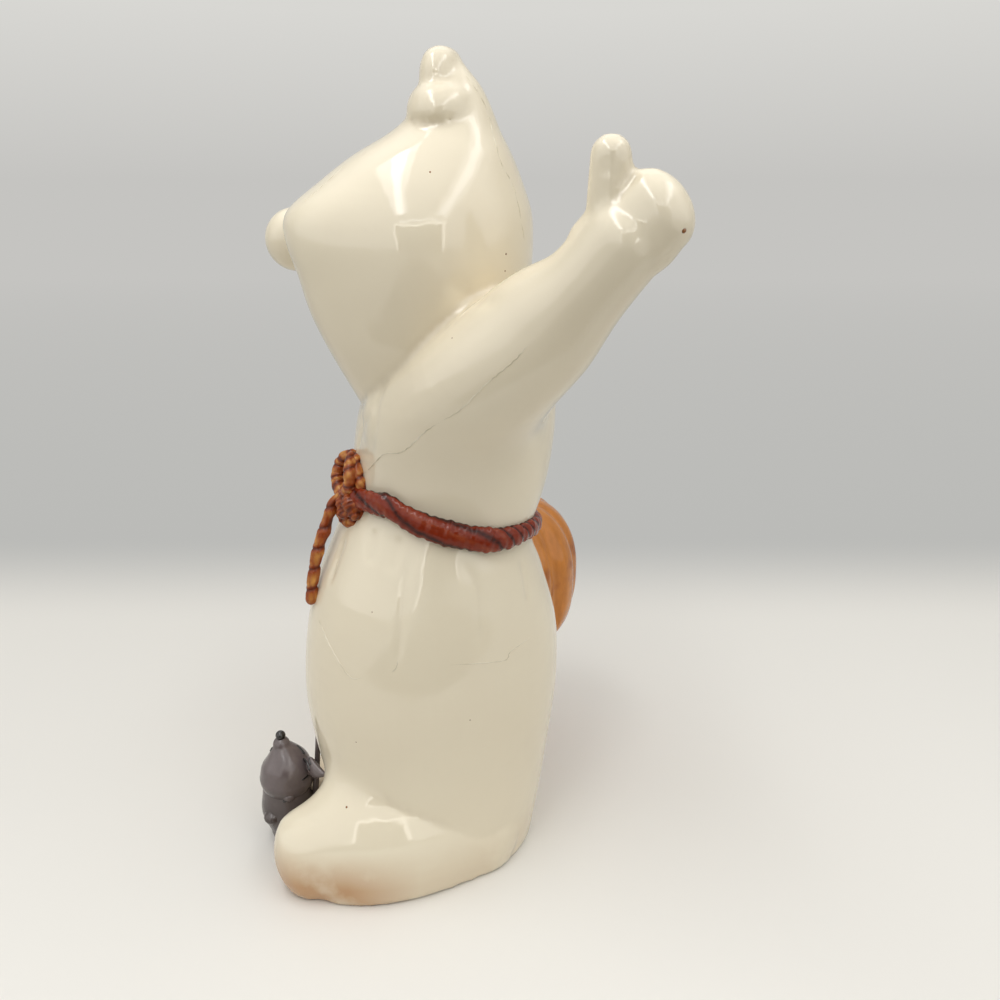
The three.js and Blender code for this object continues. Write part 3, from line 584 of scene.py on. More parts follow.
# Presses on the cast ghost: pixels of the photograph, width and depth in millimetres
GHOST_PRESSES = (
    (((346, 533), (337, 560), (328, 587)), 1.6, 0.7),
    (((371, 528), (372, 545), (368, 566)), 2.5, 0.5),
    (((398, 536), (395, 552), (388, 575)), 2.5, 0.4),
    (((412, 548), (403, 590), (399, 640), (398, 668)), 1.6, 0.45),
    (((458, 556), (476, 585), (480, 615), (478, 655)), 1.6, 0.45),
    (((520, 556), (525, 580), (529, 608)), 1.6, 0.5),
    (((390, 377), (378, 400), (374, 430), (368, 462)), 1.7, 0.5),
    (((370, 410), (362, 430), (357, 452)), 1.7, 0.5),
    (((275, 829), (288, 824), (305, 821), (320, 817)), 1.3, 0.3),
    (((640, 262), (620, 286), (600, 311), (575, 346), (550, 371)), 2.0, -0.5),
    (((447, 277), (462, 290), (480, 299), (503, 303)), 2.6, 0.5),
    (((635, 170), (628, 180), (621, 192), (617, 204)), 1.8, 0.5),
    (((611, 152), (609, 164), (612, 176)), 2, 0.25),
)


def head_lofts(shape):
    """The hooded head and the rolls at its peak as separate closed skins."""
    loft(shape, level_rings(HEAD_FORM, HEAD_BASE, HEAD_SIZE, 60, 72, HEAD_TURN))
    for base, width, depth, height, back in ROLLS:
        form = [(up, 2 * back / depth, share, share, 0, 0, 2) for up, share in ROLL_FORM]
        loft(shape, level_rings(form, base, (width, depth, height), 24, 48, HEAD_TURN))


def ghost_lofts(shape):
    """Robe, arms and feet as separate closed skins."""
    loft(shape, level_rings(ROBE_FORM, 0, ROBE_SIZE, 60, 72))
    arm = sized(RAISED_ARM, (14, 8, 165), (88, 88, 88), 58)
    wrist = arm[-1][:3]
    loft(shape, limb_rings(arm, 24, 32, round_start=True))
    loft(shape, limb_rings(sized(MITTEN, wrist, (17, 17, 17), 25.2), 12, 28, round_start=True))
    loft(shape, limb_rings(sized(THUMB, wrist, (19, 19, 19), 16), 12, 24, round_start=True, over=(0, 1, 0)))
    reach = sized(PUMPKIN_ARM, (-14, 15, 170), (42, 42, 42), 48)
    hand = sized(PUMPKIN_HAND, PUMPKIN_CENTRE, (77, 77, 77), 48)
    loft(shape, limb_rings(reach + hand, 28, 28, round_start=True))
    for form, start, length, width, height in (
        (LEFT_FOOT, (18, 12, 0), 58, 42, 58),
        (RIGHT_FOOT, (-18, 10, 0), 50, 38, 48),
    ):
        foot = bmesh.new()
        loft(foot, limb_rings(sized(form, start, (length, length, height), width, height), 20, 32, True))
        stand_on_table(foot)
        mesh = bpy.data.meshes.new("foot")
        foot.to_mesh(mesh)
        foot.free()
        shape.from_mesh(mesh)
        bpy.data.meshes.remove(mesh)


def keep_shade_and_pool(clay, mesh):
    """Stores how hollow the surface is at each point, which is painted darker as shade and as pooled glaze.
    """
    normals = clay.normals()
    wide = clay.points.copy()
    for _ in range(SHADE_AND_POOL_ROUNDS):
        wide += 0.6 * (clay.mean(wide) - wide)
    hollow = np.einsum("ij,ij->i", wide - clay.points, normals)
    attribute = mesh.attributes.new("pooled", "FLOAT", "POINT")
    attribute.data.foreach_set("value", np.clip(hollow / SHADE_AND_POOL_DEPTH - 0.06, 0, 1).astype(np.float32))


def ghost_fillets(points, gap):
    """The tightest hollow left at each point: wide under the arms, tight round feet, hand and neck.

    The gap is how far each point lies from the head's own skins. All is in millimetres.
    """
    sizes = bpy.context.scene.figurine_sizes
    foot = sizes.foot_fillet / MM
    y, z = points.T[1:]
    radius = np.where(z < FEET_TOP, foot, sizes.shoulder_fillet / MM)
    # Over the toes the robe's hem runs out wide
    forward = np.interp(z, (20, 50), (-34, -48)) - y
    toe = np.exp(np.interp(forward, (-8, 8), (math.log(foot), math.log(TOE_FILLET))))
    radius = np.where(z < TOES_TOP, np.maximum(radius, toe), radius)
    hand = np.linalg.norm(points - np.array(HAND_MIDDLE), axis=1)
    radius = np.where(hand < HAND_REACH, HAND_FILLET, radius)
    # The hood sits on the shoulders in a crease, sharp in front and soft behind
    neck = np.interp(y, (-22, -6, 6, 18), (1.2, 2.5, 5, 10))
    radius = np.where((gap < 6) & (z < NECK_TOP), neck, radius)
    # Behind the rolls the hood runs smoothly up to the peak
    back = turned(points, -HEAD_TURN)[:, 1] - np.interp(z, (240, 274), (14, 11))
    return np.where(z > ROLLS_START, np.interp(back, (4, 8), (1.3, 12)), radius)


class FIGURINE_OT_ghost(bpy.types.Operator):
    """Casts the robe, the hooded head, the arms and the feet as one surface with its folds"""

    bl_idname = "figurine.ghost"
    bl_label = "Cast Ghost"

    def execute(self, context):
        sizes = context.scene.figurine_sizes
        shape = bmesh.new()
        head_lofts(shape)
        head = BVHTree.FromBMesh(shape)
        ghost_lofts(shape)
        material = ivory_glaze()
        nodes = ("robe_body", "raised_arm", "pumpkin_arm", "left_foot", "right_foot")
        nodes += ("head", "hood_roll_lower", "hood_roll_upper")
        piece = new_piece(shape, "ghost_cast", material, nodes)
        fuse(piece, sizes.face_size)
        dress(piece, material, ())
        clay = Clay(piece)
        clay.relax(rounds=5)
        gap = np.array([head.find_nearest(Vector(point) * MM)[3] for point in clay.points]) / MM
        clay.fill(ghost_fillets(clay.points, gap), rounds=160)
        # The neck's crease and the foot ring on the table stay sharp
        apart = np.clip((gap - 3) / 7, 0, 1)
        for middle, reach, firm, rounds in MELTED:
            away = np.linalg.norm((clay.points - np.array(middle)) / reach, axis=1)
            lifted = np.clip((clay.points[:, 2] - 0.5) / 5, 0, 1)
            clay.soften(np.clip(firm - firm * away, 0, 1) * apart * lifted, rounds)
        clay.relax(rounds=3)
        tree = clay.tree()
        for pixels, width, depth in GHOST_PRESSES:
            clay.press(clay.line(tree, pixels), width, depth)
        # The foot ring stands on the table, and the pour hole goes up into it
        hole = np.linalg.norm(clay.points[:, :2] - HOLE_PLACE, axis=1) < HOLE_RADIUS
        clay.points[:, 2] = np.maximum(clay.points[:, 2], 0)
        clay.points[hole & (clay.points[:, 2] < 0.6), 2] = HOLE_DEPTH
        clay.store()
        keep_shade_and_pool(clay, piece.data)
        piece.data.polygons.foreach_set("use_smooth", [True] * len(piece.data.polygons))
        return {"FINISHED"}


def add_ball(shape, centre, size, turn=0, segments=32):
    """A squashed ball, in millimetres."""
    matrix = Matrix.Rotation(math.radians(turn), 4, "Z") @ Matrix.Translation(Vector(centre) * MM)
    matrix = matrix @ Matrix.Diagonal((*(Vector(size) * MM / 2), 1))
    return bmesh.ops.create_uvsphere(
        shape, u_segments=segments, v_segments=segments // 2, radius=1, matrix=matrix
    )["verts"]


# Raised hairlines where the glaze crazed or the mould's halves met: pixels, and width in millimetres
GLAZE_LINES = (
    (((363, 474), (372, 466), (384, 454), (398, 453), (408, 448), (425, 432), (440, 422)), 0.3),
    (((440, 422), (460, 410), (485, 385), (497, 375), (515, 360), (528, 345)), 0.3),
    (((466, 76), (485, 106), (500, 160), (515, 192), (526, 250)), 0.22),
    (((300, 205), (318, 190), (345, 165)), 0.2),
    (((318, 616), (325, 635), (335, 655), (350, 677), (362, 678)), 0.28),
    (((398, 660), (396, 668), (392, 672)), 0.25),
    (((530, 637), (522, 643), (510, 652), (505, 660), (480, 663), (450, 665)), 0.25),
)
# Dark grit under the glaze: pixel and width in millimetres
SPECKS = (
    ((430, 172), 0.7),
    ((506, 254), 0.7),
    ((505, 271), 0.6),
    ((346.5, 807), 0.9),
    ((684, 231), 1.5),
    ((452, 338), 0.5),
    ((372, 612), 0.5),
    ((470, 720), 0.5),
    ((356, 742), 0.5),
)


class FIGURINE_OT_flaws(bpy.types.Operator):
    """Draws the glaze's hairlines and grit on the cast"""

    bl_idname = "figurine.flaws"
    bl_label = "Hairlines and Grit"

    def execute(self, context):
        clay = Clay(bpy.data.objects["ghost_cast"])
        tree = clay.tree()
        toward = tuple(-CAMERA_AHEAD)
        shape = bmesh.new()
        for pixels, width in GLAZE_LINES:
            line = clay.line(tree, pixels)
            # A crack wanders by 0.12 mm and tapers off at both ends
            wander = 0.12 * np.sin(np.arange(len(line)) * 1.3)[:, None] * CAMERA_RIGHT
            taper = np.minimum(1, np.linspace(0.15, 6, len(line)))
            taper = np.minimum(taper, taper[::-1])
            stations = [(*at, size, size) for at, size in zip(line + wander, taper * width / 2)]
            loft(shape, limb_rings(stations, 2 * len(line), 6, over=toward, round_end=False))
        # Glaze that crazed as it cooled: a fine raised line, here pale and there greyed by dirt
        hairline, place = new_material("Crazed Glaze Hairline")
        ground = clouded(hairline, place, 6 * MM, colour("C9BEA3"), colour("F2EAD8"))
        glazed(hairline, place, ground, 0.12, 2 * MM, 0.05 * MM)
        new_piece(shape, "hairlines", hairline)
        shape = bmesh.new()
        for pixel, width in SPECKS:
            at, normal = sight_meets(tree, *pixel)
            add_ball(shape, at - 0.25 * width * normal, (width, width, width), segments=12)
        # Iron in the clay that melted into the clear glaze: a brown spot with the glaze's shine
        grit, place = new_material("Iron Grit Under Glaze")
        ground = clouded(grit, place, 0.5 * MM, colour("4A3218"), colour("A8672C"), (0, 1))
        glazed(grit, place, ground, 0.12, 1 * MM, 0.05 * MM)
        new_piece(shape, "grit", grit)
        return {"FINISHED"}


class FIGURINE_OT_nose(bpy.types.Operator):
    """Sets the round nose on the face"""

    bl_idname = "figurine.nose"
    bl_label = "Nose"

    def execute(self, context):
        low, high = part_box("nose")
        centre = (low + high) / 2
        shape = bmesh.new()
        add_ball(shape, (0, 0, 0), (20, 20, 20), segments=48)
        for vertex in shape.verts:
            vertex.co += Vector((centre.x, centre.y, centre.z))
        material = bpy.data.materials["Ivory Glazed Earthenware"]
        piece = new_piece(shape, "nose_ball", material, ("nose",))
        attribute = piece.data.attributes.new("pooled", "FLOAT", "POINT")
        attribute.data.foreach_set("value", [0.0] * len(piece.data.vertices))
        return {"FINISHED"}


# The painted face: place across and up from the nose's middle, width and height, in millimetres
FACE_PAINT = (((-11, 3), 5.5, 9), ((11, 3), 5.5, 9), ((0, -19), 7, 3.6))
# Half a stroke's thickness, and how deep its middle lies, in millimetres
PAINT_SWELL = 1.0
PAINT_DEPTH = 0.55


class FIGURINE_OT_face(bpy.types.Operator):
    """Paints two plain eyes and a small mouth on the flat of the face"""

    bl_idname = "figurine.face"
    bl_label = "Painted Face"

    def execute(self, context):
        # Black underglaze put on with a brush and glazed over: glossy, and a little thin in places
        black, place = new_material("Black Glazed Paint")
        ground = clouded(black, place, 3 * MM, colour("1A1716"), colour("3A3230"), (0, 1))
        glazed(black, place, ground, 0.1, 2 * MM, 0.05 * MM)
        tree = Clay(bpy.data.objects["ghost_cast"]).tree()
        low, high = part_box("nose")
        nose = turned(np.array((low + high) / 2 / MM)[None], -HEAD_TURN)[0]
        inward = turned(np.array(((0, 1, 0),)), HEAD_TURN)[0]
        shape = bmesh.new()
        for (across, up), width, height in FACE_PAINT:
            start = turned(np.array(((nose[0] + across, -80, nose[2] + up),)), HEAD_TURN)[0]
            place, normal, _, _ = tree.ray_cast(Vector(start) * MM, Vector(inward))
            if place is None:
                raise RuntimeError("The painted face misses the head")
            turn = normal.to_track_quat("Y", "Z").to_matrix().to_4x4()
            size = Matrix.Diagonal((width / 2 * MM, PAINT_SWELL * MM, height / 2 * MM, 1))
            matrix = Matrix.Translation(place - normal * PAINT_DEPTH * MM) @ turn @ size
            bmesh.ops.create_uvsphere(shape, u_segments=32, v_segments=24, radius=1, matrix=matrix)
        new_piece(shape, "face_paint", black)
        return {"FINISHED"}


# Rope


def rope_rings(path, radius, turns, depth, sides, strands=1, fine=0, flat=1.0, up=(0, 0, 1), closed=False):
    """Twisted strands along a path as rings, with each point's height on its strand and its brush place.

    The turns say how many strands have come to the outside by each point of the path. Strands is how
    many lie side by side round the rope, depth and fine are the grooves between strands and between
    their threads as shares of the radius, and flat squeezes the rope across.
    """
    path = np.array(path, float)
    along = np.concatenate([[0], np.cumsum(np.linalg.norm(np.diff(path, axis=0), axis=1))])
    if closed:
        ahead = np.roll(path, -1, 0) - np.roll(path, 1, 0)
    else:
        ahead = np.gradient(path, axis=0)
    ahead /= np.linalg.norm(ahead, axis=1)[:, None]
    radius, depth = np.broadcast_to(radius, len(path)), np.broadcast_to(depth, len(path))
    angles = np.linspace(0, 2 * math.pi, sides, endpoint=False)
    rings, looks = [], []
    for place, direction, run, size, turn, dip in zip(path, ahead, along, radius, turns, depth):
        across = np.cross(np.array(up, float), direction)
        across /= np.linalg.norm(across)
        upward = np.cross(direction, across)
        phase = strands * angles / 2 - math.pi * turn
        height = np.abs(np.cos(phase)) ** 0.7
        thread = np.abs(np.cos(2.5 * angles + math.pi * turn)) if fine else 1
        reach = size * (1 - dip + dip * height - fine * (1 - thread) * height)
        point = place + (np.cos(angles) * reach * flat)[:, None] * across
        rings.append(point + (np.sin(angles) * reach)[:, None] * upward)
        share = phase / math.pi - 0.5
        share -= np.floor(share)
        brush = np.stack([np.full(sides, run * 0.15), share * size, share * 0 + np.floor(turn)], 1)
        # Next to the robe the strand height goes to 0, which paints shade there in the dark groove colour
        outside = np.clip((0.15 - np.cos(angles)) / 0.4, 0, 1) if closed else 1
        looks.append(np.column_stack([height * outside * (0.75 + 0.25 * thread), share, brush * MM]))
    return rings, looks


def rope(name, rings, looks, material, nodes, closed=False):
    """A rope as a piece, with its strand heights, its places along a bulge and its brush places."""
    shape = bmesh.new()
    loft(shape, rings, closed)
    piece = new_piece(shape, name, material, nodes)
    keep_looks(piece, np.concatenate(looks))
    return piece


def keep_looks(piece, looks):
    """Stores what the rope's material reads at each point."""
    values = looks.astype(np.float32)
    for name, kind, field, part in (
        ("strand", "FLOAT", "value", values[:, 0]),
        ("along", "FLOAT", "value", values[:, 1]),
        ("brush", "FLOAT_VECTOR", "vector", values[:, 2:].ravel()),
    ):
        piece.data.attributes.new(name, kind, "POINT").data.foreach_set(field, part)


# The robe's section at the belt: z, y, half width, half depth, tilt, lean and flat
WAIST = level_sections(ROBE_FORM, ROBE_SIZE, 1000)[600]
BELT_STEPS = 520
# The belt's middle lies this far outside the robe, in millimetres
BELT_OUT = 1.3
# The belt by degrees round the waist: lift and half height in millimetres, strands' turns and groove depth
BELT_ROWS = (
    (-90, 0, 3.9, 0, 0.12),
    (-75, 1.6, 3.9, 0.5, 0.12),
    (-62, 3.2, 3.9, 1, 0.16),
    (-50, 4.2, 4.2, 1.5, 0.14),
    (-41, 3, 3.8, 2, 0.15),
    (-30, 1.5, 4.3, 2.2, 0.06),
    (-15, 0.6, 4.3, 2.4, 0.05),
    (0, 0.1, 4.2, 2.6, 0.06),
    (12, 0.2, 4.2, 3, 0.09),
    (22, 0.9, 3.8, 4, 0.13),
    (32, 1.8, 3.5, 5.3, 0.16),
    (45, 2.6, 3.3, 7.2, 0.18),
    (70, 2, 3.6, 9.5, 0.18),
    (120, 0, 4, 12, 0.14),
    (180, 0, 4, 15, 0.14),
    (230, 1, 4, 18, 0.14),
    (270, 0, 3.9, 20, 0.12),
)


def belt_path():
    """The belt's middle round the waist, with its half height, its turns and its grooves' depth."""
    z, y, half_width, half_depth, tilt, lean, _ = WAIST
    degrees = np.linspace(-90, 270, BELT_STEPS, endpoint=False)
    rows = np.array(BELT_ROWS, float).T
    lift, radius, turns, depth = (np.interp(degrees, rows[0], row) for row in rows[1:])
    # The lift and the half height change gently, as the mean of 9 steps, and the clay is lumpy
    window = np.ones(9) / 9
    lift, radius = (np.convolve(np.pad(row, 4, mode="wrap"), window, "valid") for row in (lift, radius))
    lumps = np.sin(degrees * 0.31) + np.sin(degrees * 0.83 + 2) + np.sin(degrees * 1.37 + 4)
    angles = np.radians(degrees)
    dx = np.cos(angles) * (half_width + BELT_OUT)
    dy = np.sin(angles) * (half_depth + BELT_OUT)
    path = np.stack([dx, y + dy, z + tilt * dy + lean * dx + lift], 1)
    return path, radius * (1 + 0.03 * lumps), turns, depth


class FIGURINE_OT_belt(bpy.types.Operator):
    """Lays the moulded rope belt round the waist"""

    bl_idname = "figurine.belt"
    bl_label = "Rope Belt"

    def execute(self, context):
        # Red iron stain, brushed thick over the moulded strands and seldom wiped off
        body = context.scene.figurine_colours.belt
        material = brushed_glaze("Red Brown Glazed Rope", "3A120B", body, "9A4E30", 0.9 * MM, 0.13, 0.55)
        path, radius, turns, depth = belt_path()
        rings, looks = rope_rings(path, radius, turns, depth, 28, strands=3, flat=0.66, closed=True)
        rope("belt_rope", rings, looks, material, ("rope_belt",), closed=True)
        return {"FINISHED"}


# Points along a rope of the bow between two of its given points, and the length of its round tip
ROPE_STEPS = 24
TIP_LENGTH = 2.4
# The bow's ropes: name, CAD node, points along them, radius and the length of one bulge in millimetres
BOW_ROPES = (
    (
        "loop_left",
        "bow_loop_left",
        (
            (2, -25.2, 138.5), (5.5, -25, 141.5), (7, -24.3, 145), (6.4, -24.3, 148.4),
            (4.2, -23.6, 151.4), (2, -22.2, 153), (3.4, -21.6, 152), (6, -21.8, 149.6),
            (8.4, -21.6, 146.2), (9.8, -21, 142.6), (9, -21.8, 139.6),
        ),
        (2.2, 2.5, 2.5, 2.3, 2, 1.7, 1.6, 1.7, 1.8, 1.9, 1.9),
        4.3,
    ),
    (
        "loop_right",
        "bow_loop_right",
        (
            (0, -26.3, 139), (-2.6, -26.4, 140.3), (-5, -26.4, 142), (-6.6, -26, 144.5),
            (-6.8, -24.9, 147.7), (-5, -23.6, 150.6), (-2.6, -21.8, 152.2), (-3, -21.4, 150),
            (-5, -22, 146), (-4, -23.5, 142), (-1, -24.6, 139.5),
        ),
        (2.3, 2.4, 2.4, 2.4, 2.3, 2.1, 1.8, 1.7, 1.8, 1.9, 1.9),
        4.1,
    ),
    (
        "end_short",
        "cord_end_short",
        (
            (10, -20.8, 139.4), (9, -21.8, 136), (7, -23.6, 132.8), (4.4, -25.4, 130.7),
            (1.6, -26.6, 133), (0, -27.2, 136),
        ),
        (2.3, 2.4, 2.3, 2, 2.3, 2.4),
        4.6,
    ),
    (
        "end_long",
        "cord_end_long",
        (
            (1, -26.5, 139.6), (0.2, -29.3, 136.6), (0, -30.8, 132.6), (0, -32.9, 127),
            (0, -35.3, 120.6), (0, -37, 113.6), (0, -38.3, 106.4), (0, -39, 101),
        ),
        (1.6, 1.9, 2.05, 2.25, 2.2, 2.1, 2.1, 1.9),
        7.8,
    ),
)
# Lumps of the knot: middle and width in millimetres
KNOT_LUMPS = (
    ((3.4, -26, 137.4), 6.4),
    ((8, -24.5, 138.6), 7.4),
    ((11, -22, 139.4), 5),
    ((5, -26, 134.8), 6),
    ((9.2, -23.8, 135.6), 5.4),
    ((4, -25, 140.4), 5.6),
    ((-1.6, -25, 137.6), 5.8),
    ((0.2, -24, 141), 5),
    ((13.2, -20.2, 142.7), 2.8),
)


class FIGURINE_OT_bow(bpy.types.Operator):
    """Ties the bow with its two loops and two hanging ends"""

    bl_idname = "figurine.bow"
    bl_label = "Bow"

    def execute(self, context):
        # The same stain wiped off the strands' ridges, which shows the golden clay through the glaze
        body = context.scene.figurine_colours.cord
        material = brushed_glaze("Golden Brown Glazed Cord", "5C2411", body, "D2964F", 0.8 * MM, 0.15)
        for name, node, points, radius, bulge in BOW_ROPES:
            rows = [(*point, size) for point, size in zip(points, radius)]
            rows = smooth_rows(rows, ROPE_STEPS * (len(points) - 1))
            path, radius = rows[:, :3], rows[:, 3].copy()
            steps = np.linalg.norm(np.diff(path, axis=0), axis=1)
            run = np.concatenate([[0], np.cumsum(steps)])
            past = ((run - run[-1] + TIP_LENGTH) / (TIP_LENGTH + 0.1)).clip(0)
            tip = np.sqrt(np.clip(1 - past**2, 0.01, 1))
            turns = run / (bulge * context.scene.figurine_sizes.cord_bulge) + 0.12 * np.sin(run * 0.9) + 0.5
            tip *= 0.92 + 0.16 * np.abs(np.sin(math.pi * (turns + 0.15)))
            rings, looks = rope_rings(path, radius * tip, turns, 0.24, 24, fine=0.08, up=(0.2, 1, 0.1))
            rope(name, rings, looks, material, (node,))
        shape = bmesh.new()
        for middle, width in KNOT_LUMPS:
            add_ball(shape, middle, (width, width, width * 0.9), segments=24)
        piece = new_piece(shape, "knot", material, ("bow_knot",))
        fuse(piece, 0.4 * MM)
        dress(piece, material, ())
        clay = Clay(piece)
        clay.relax(rounds=4)
        # Ridges of the knotted strands, 0.25 mm high
        waves = np.sin(clay.points @ np.array(((1.9, -1.2), (1.1, 0.8), (-1.6, 1.4)))).prod(1)
        clay.points += (0.25 * waves)[:, None] * clay.normals()
        clay.store()
        keep_looks(piece, np.column_stack([0.5 + 0.4 * waves, 0.62 + 0.25 * waves, clay.points * MM]))
        return {"FINISHED"}


class FIGURINE_OT_pumpkin(bpy.types.Operator):
    """Sets the ribbed pumpkin and its stem behind the hip"""

    bl_idname = "figurine.pumpkin"
    bl_label = "Pumpkin"

    def execute(self, context):
        colours = context.scene.figurine_colours
        # Orange underglaze brushed up and down the ribs, with rust flashes where it went on thick
        material, place = new_material("Orange Glazed Pumpkin")
        centred = add_node(material, "Mapping", {"Vector": place, "Location": tuple(-PUMPKIN_CENTRE * MM)})
        upright = add_node(material, "Mapping", {"Vector": centred, "Scale": (1.0, 1.0, 0.22)})
        orange = colour(colours.pumpkin)
        ground = clouded(material, upright, 5 * MM, colour("B5702B"), orange, detail=5.0, rough=0.65)
        rust = add_node(material, "TexNoise", {"Vector": place, "Scale": 1 / (17 * MM), "Detail": 4.0})
        rust = add_node(material, "MapRange", {0: rust, 1: 0.56, 2: 0.68, 4: 0.7})
        ground = add_node(material, "Mix", {0: rust, 6: ground, 7: colour("8E4A22")}, **COLOUR_MIX)
        glazed(material, place, ground, 0.12, 4 * MM, 0.2 * MM, 0.3)
        shape = bmesh.new()
        add_ball(shape, (0, 0, 0), PUMPKIN_SIZE, segments=144)
        for vertex in shape.verts:
            x, y, z = vertex.co / MM
            rise = max(-1, min(1, 2 * z / PUMPKIN_SIZE[2]))
            flat = math.sqrt(1 - rise**2)
            angle = math.atan2(y, x)
            groove = PUMPKIN_GROOVE_DEPTH * abs(math.cos(PUMPKIN_GROOVES / 2 * angle)) ** 5 * flat
            radius = math.hypot(x, y)
            fuller = math.sqrt(1 - abs(rise) ** 2.5) / max(flat, 0.01)
            shrink = fuller * (radius - groove) / radius if radius > 0.01 else 1
            dimple = math.copysign(PUMPKIN_DIMPLE * abs(rise) ** 8, z)
            vertex.co = (Vector((x * shrink, y * shrink, z - dimple)) + Vector(PUMPKIN_CENTRE)) * MM
        new_piece(shape, "pumpkin_body", material, ("pumpkin",))

        # Brown stain brushed along the stem's strands, dark in the grooves between them
        stem = brushed_glaze("Brown Glazed Stem", "3B2A14", "6B4F27", "8A6A38", 2 * MM, 0.16)
        foot = PUMPKIN_CENTRE + (0, 0, 32)
        shares = np.linspace(0, 1, 30)
        path = [foot + (0, 4 * share**2, 15 * share) for share in shares]
        radius = np.interp(shares, (0, 0.5, 1), (7, 4.4, 5.6))
        turns = np.linspace(0.2, 0.5, 30)
        rings, looks = rope_rings(path, radius, turns, 0.2, 40, strands=5, up=(0, 1, 0))
        rope("stem", rings, looks, stem, ("pumpkin_stem",))
        return {"FINISHED"}


MOUSE_SIZE = (10.5, 10.5, 44)
MOUSE_WIDTH = 21
MOUSE_PLACE = np.array((-14, -51.1, 0))
MOUSE_TURN = 20
MOUSE_BODY = (
    ((0.095, 0, 0.091), 0.762, 0.714),
    ((0.048, 0, 0.273), 1, 0.952),
    ((0, 0, 0.455), 0.905, 0.857),
)
MOUSE_HEAD = (
    ((0.07, 0.01, 0.602), 0.96, 0.96),
    ((0.11, -0.01, 0.75), 0.8, 0.8),
    ((0.05, -0.09, 0.909), 0.3, 0.3),
)
MOUSE_TAIL = (
    ((0.429, 0.762, 0.068), 1.5),
    ((0.667, 0.762, 0.409), 1.25),
    ((0.9, 0.83, 0.8), 1.0),
    ((1.0, 0.85, 1.09), 0.5),
)
# Ears: piece, CAD node, side, and how far the middle lies from the node's, in millimetres
MOUSE_EARS = (
    ("ear_left", "mouse_ear_left", 1, (3.2, 2, 4.5)),
    ("ear_right", "mouse_ear_right", -1, (-2, 2, 1.5)),
)
EAR_SIZE = (11, 3.4, 8)
# An ear's outer part is drawn out to a tip of half its height
EAR_REACH = 6
EAR_TIP = 2.2
EAR_NARROWING = 0.5
# Paws on the mouse's body: pixel and width in millimetres
MOUSE_PAWS = (((266, 783), 5), ((270, 818), 6.5), ((289, 797), 5))
# A stroke that misses the mouse moves up to this many pixels toward its middle column
STROKE_SHIFTS = 8
MOUSE_COLUMN = 287
# Black strokes painted on the mouse: pixels and width in millimetres
MOUSE_STROKES = (
    (((297.5, 746), (301, 749.5), (303.5, 753)), 1.0),
    (((304, 759), (307.5, 763), (309.5, 769)), 1.1),
    (((309, 759), (310.5, 764)), 0.8),
    (((303, 779.5), (307.5, 775.5)), 0.8),
    (((267.5, 750.5), (269, 748)), 0.7),
    (((284.5, 801), (289.5, 797.5)), 1.3),
)


def mouse_glaze():
    """Grey underglaze sponged on and glazed thinly: soft warm grey, half matt, with painted shade that
    darkens it low down.
    """
    material, place = new_material("Grey Glazed Mouse")
    grey = colour(bpy.context.scene.figurine_colours.mouse)
    ground = clouded(material, place, 7 * MM, colour("605656"), grey, detail=4.0)
    # Painted shade: the grey goes darker towards the table, low on the body
    up = add_node(material, "SeparateXYZ", {"Vector": place}, "Z")
    low = within(material, (up, 26 * MM, 16 * MM))
    ground = add_node(material, "Mix", {0: low, 6: ground, 7: colour("4C4341")}, **COLOUR_MIX)
    glazed(material, place, ground, 0.25, 3 * MM, 0.15 * MM)
    return material


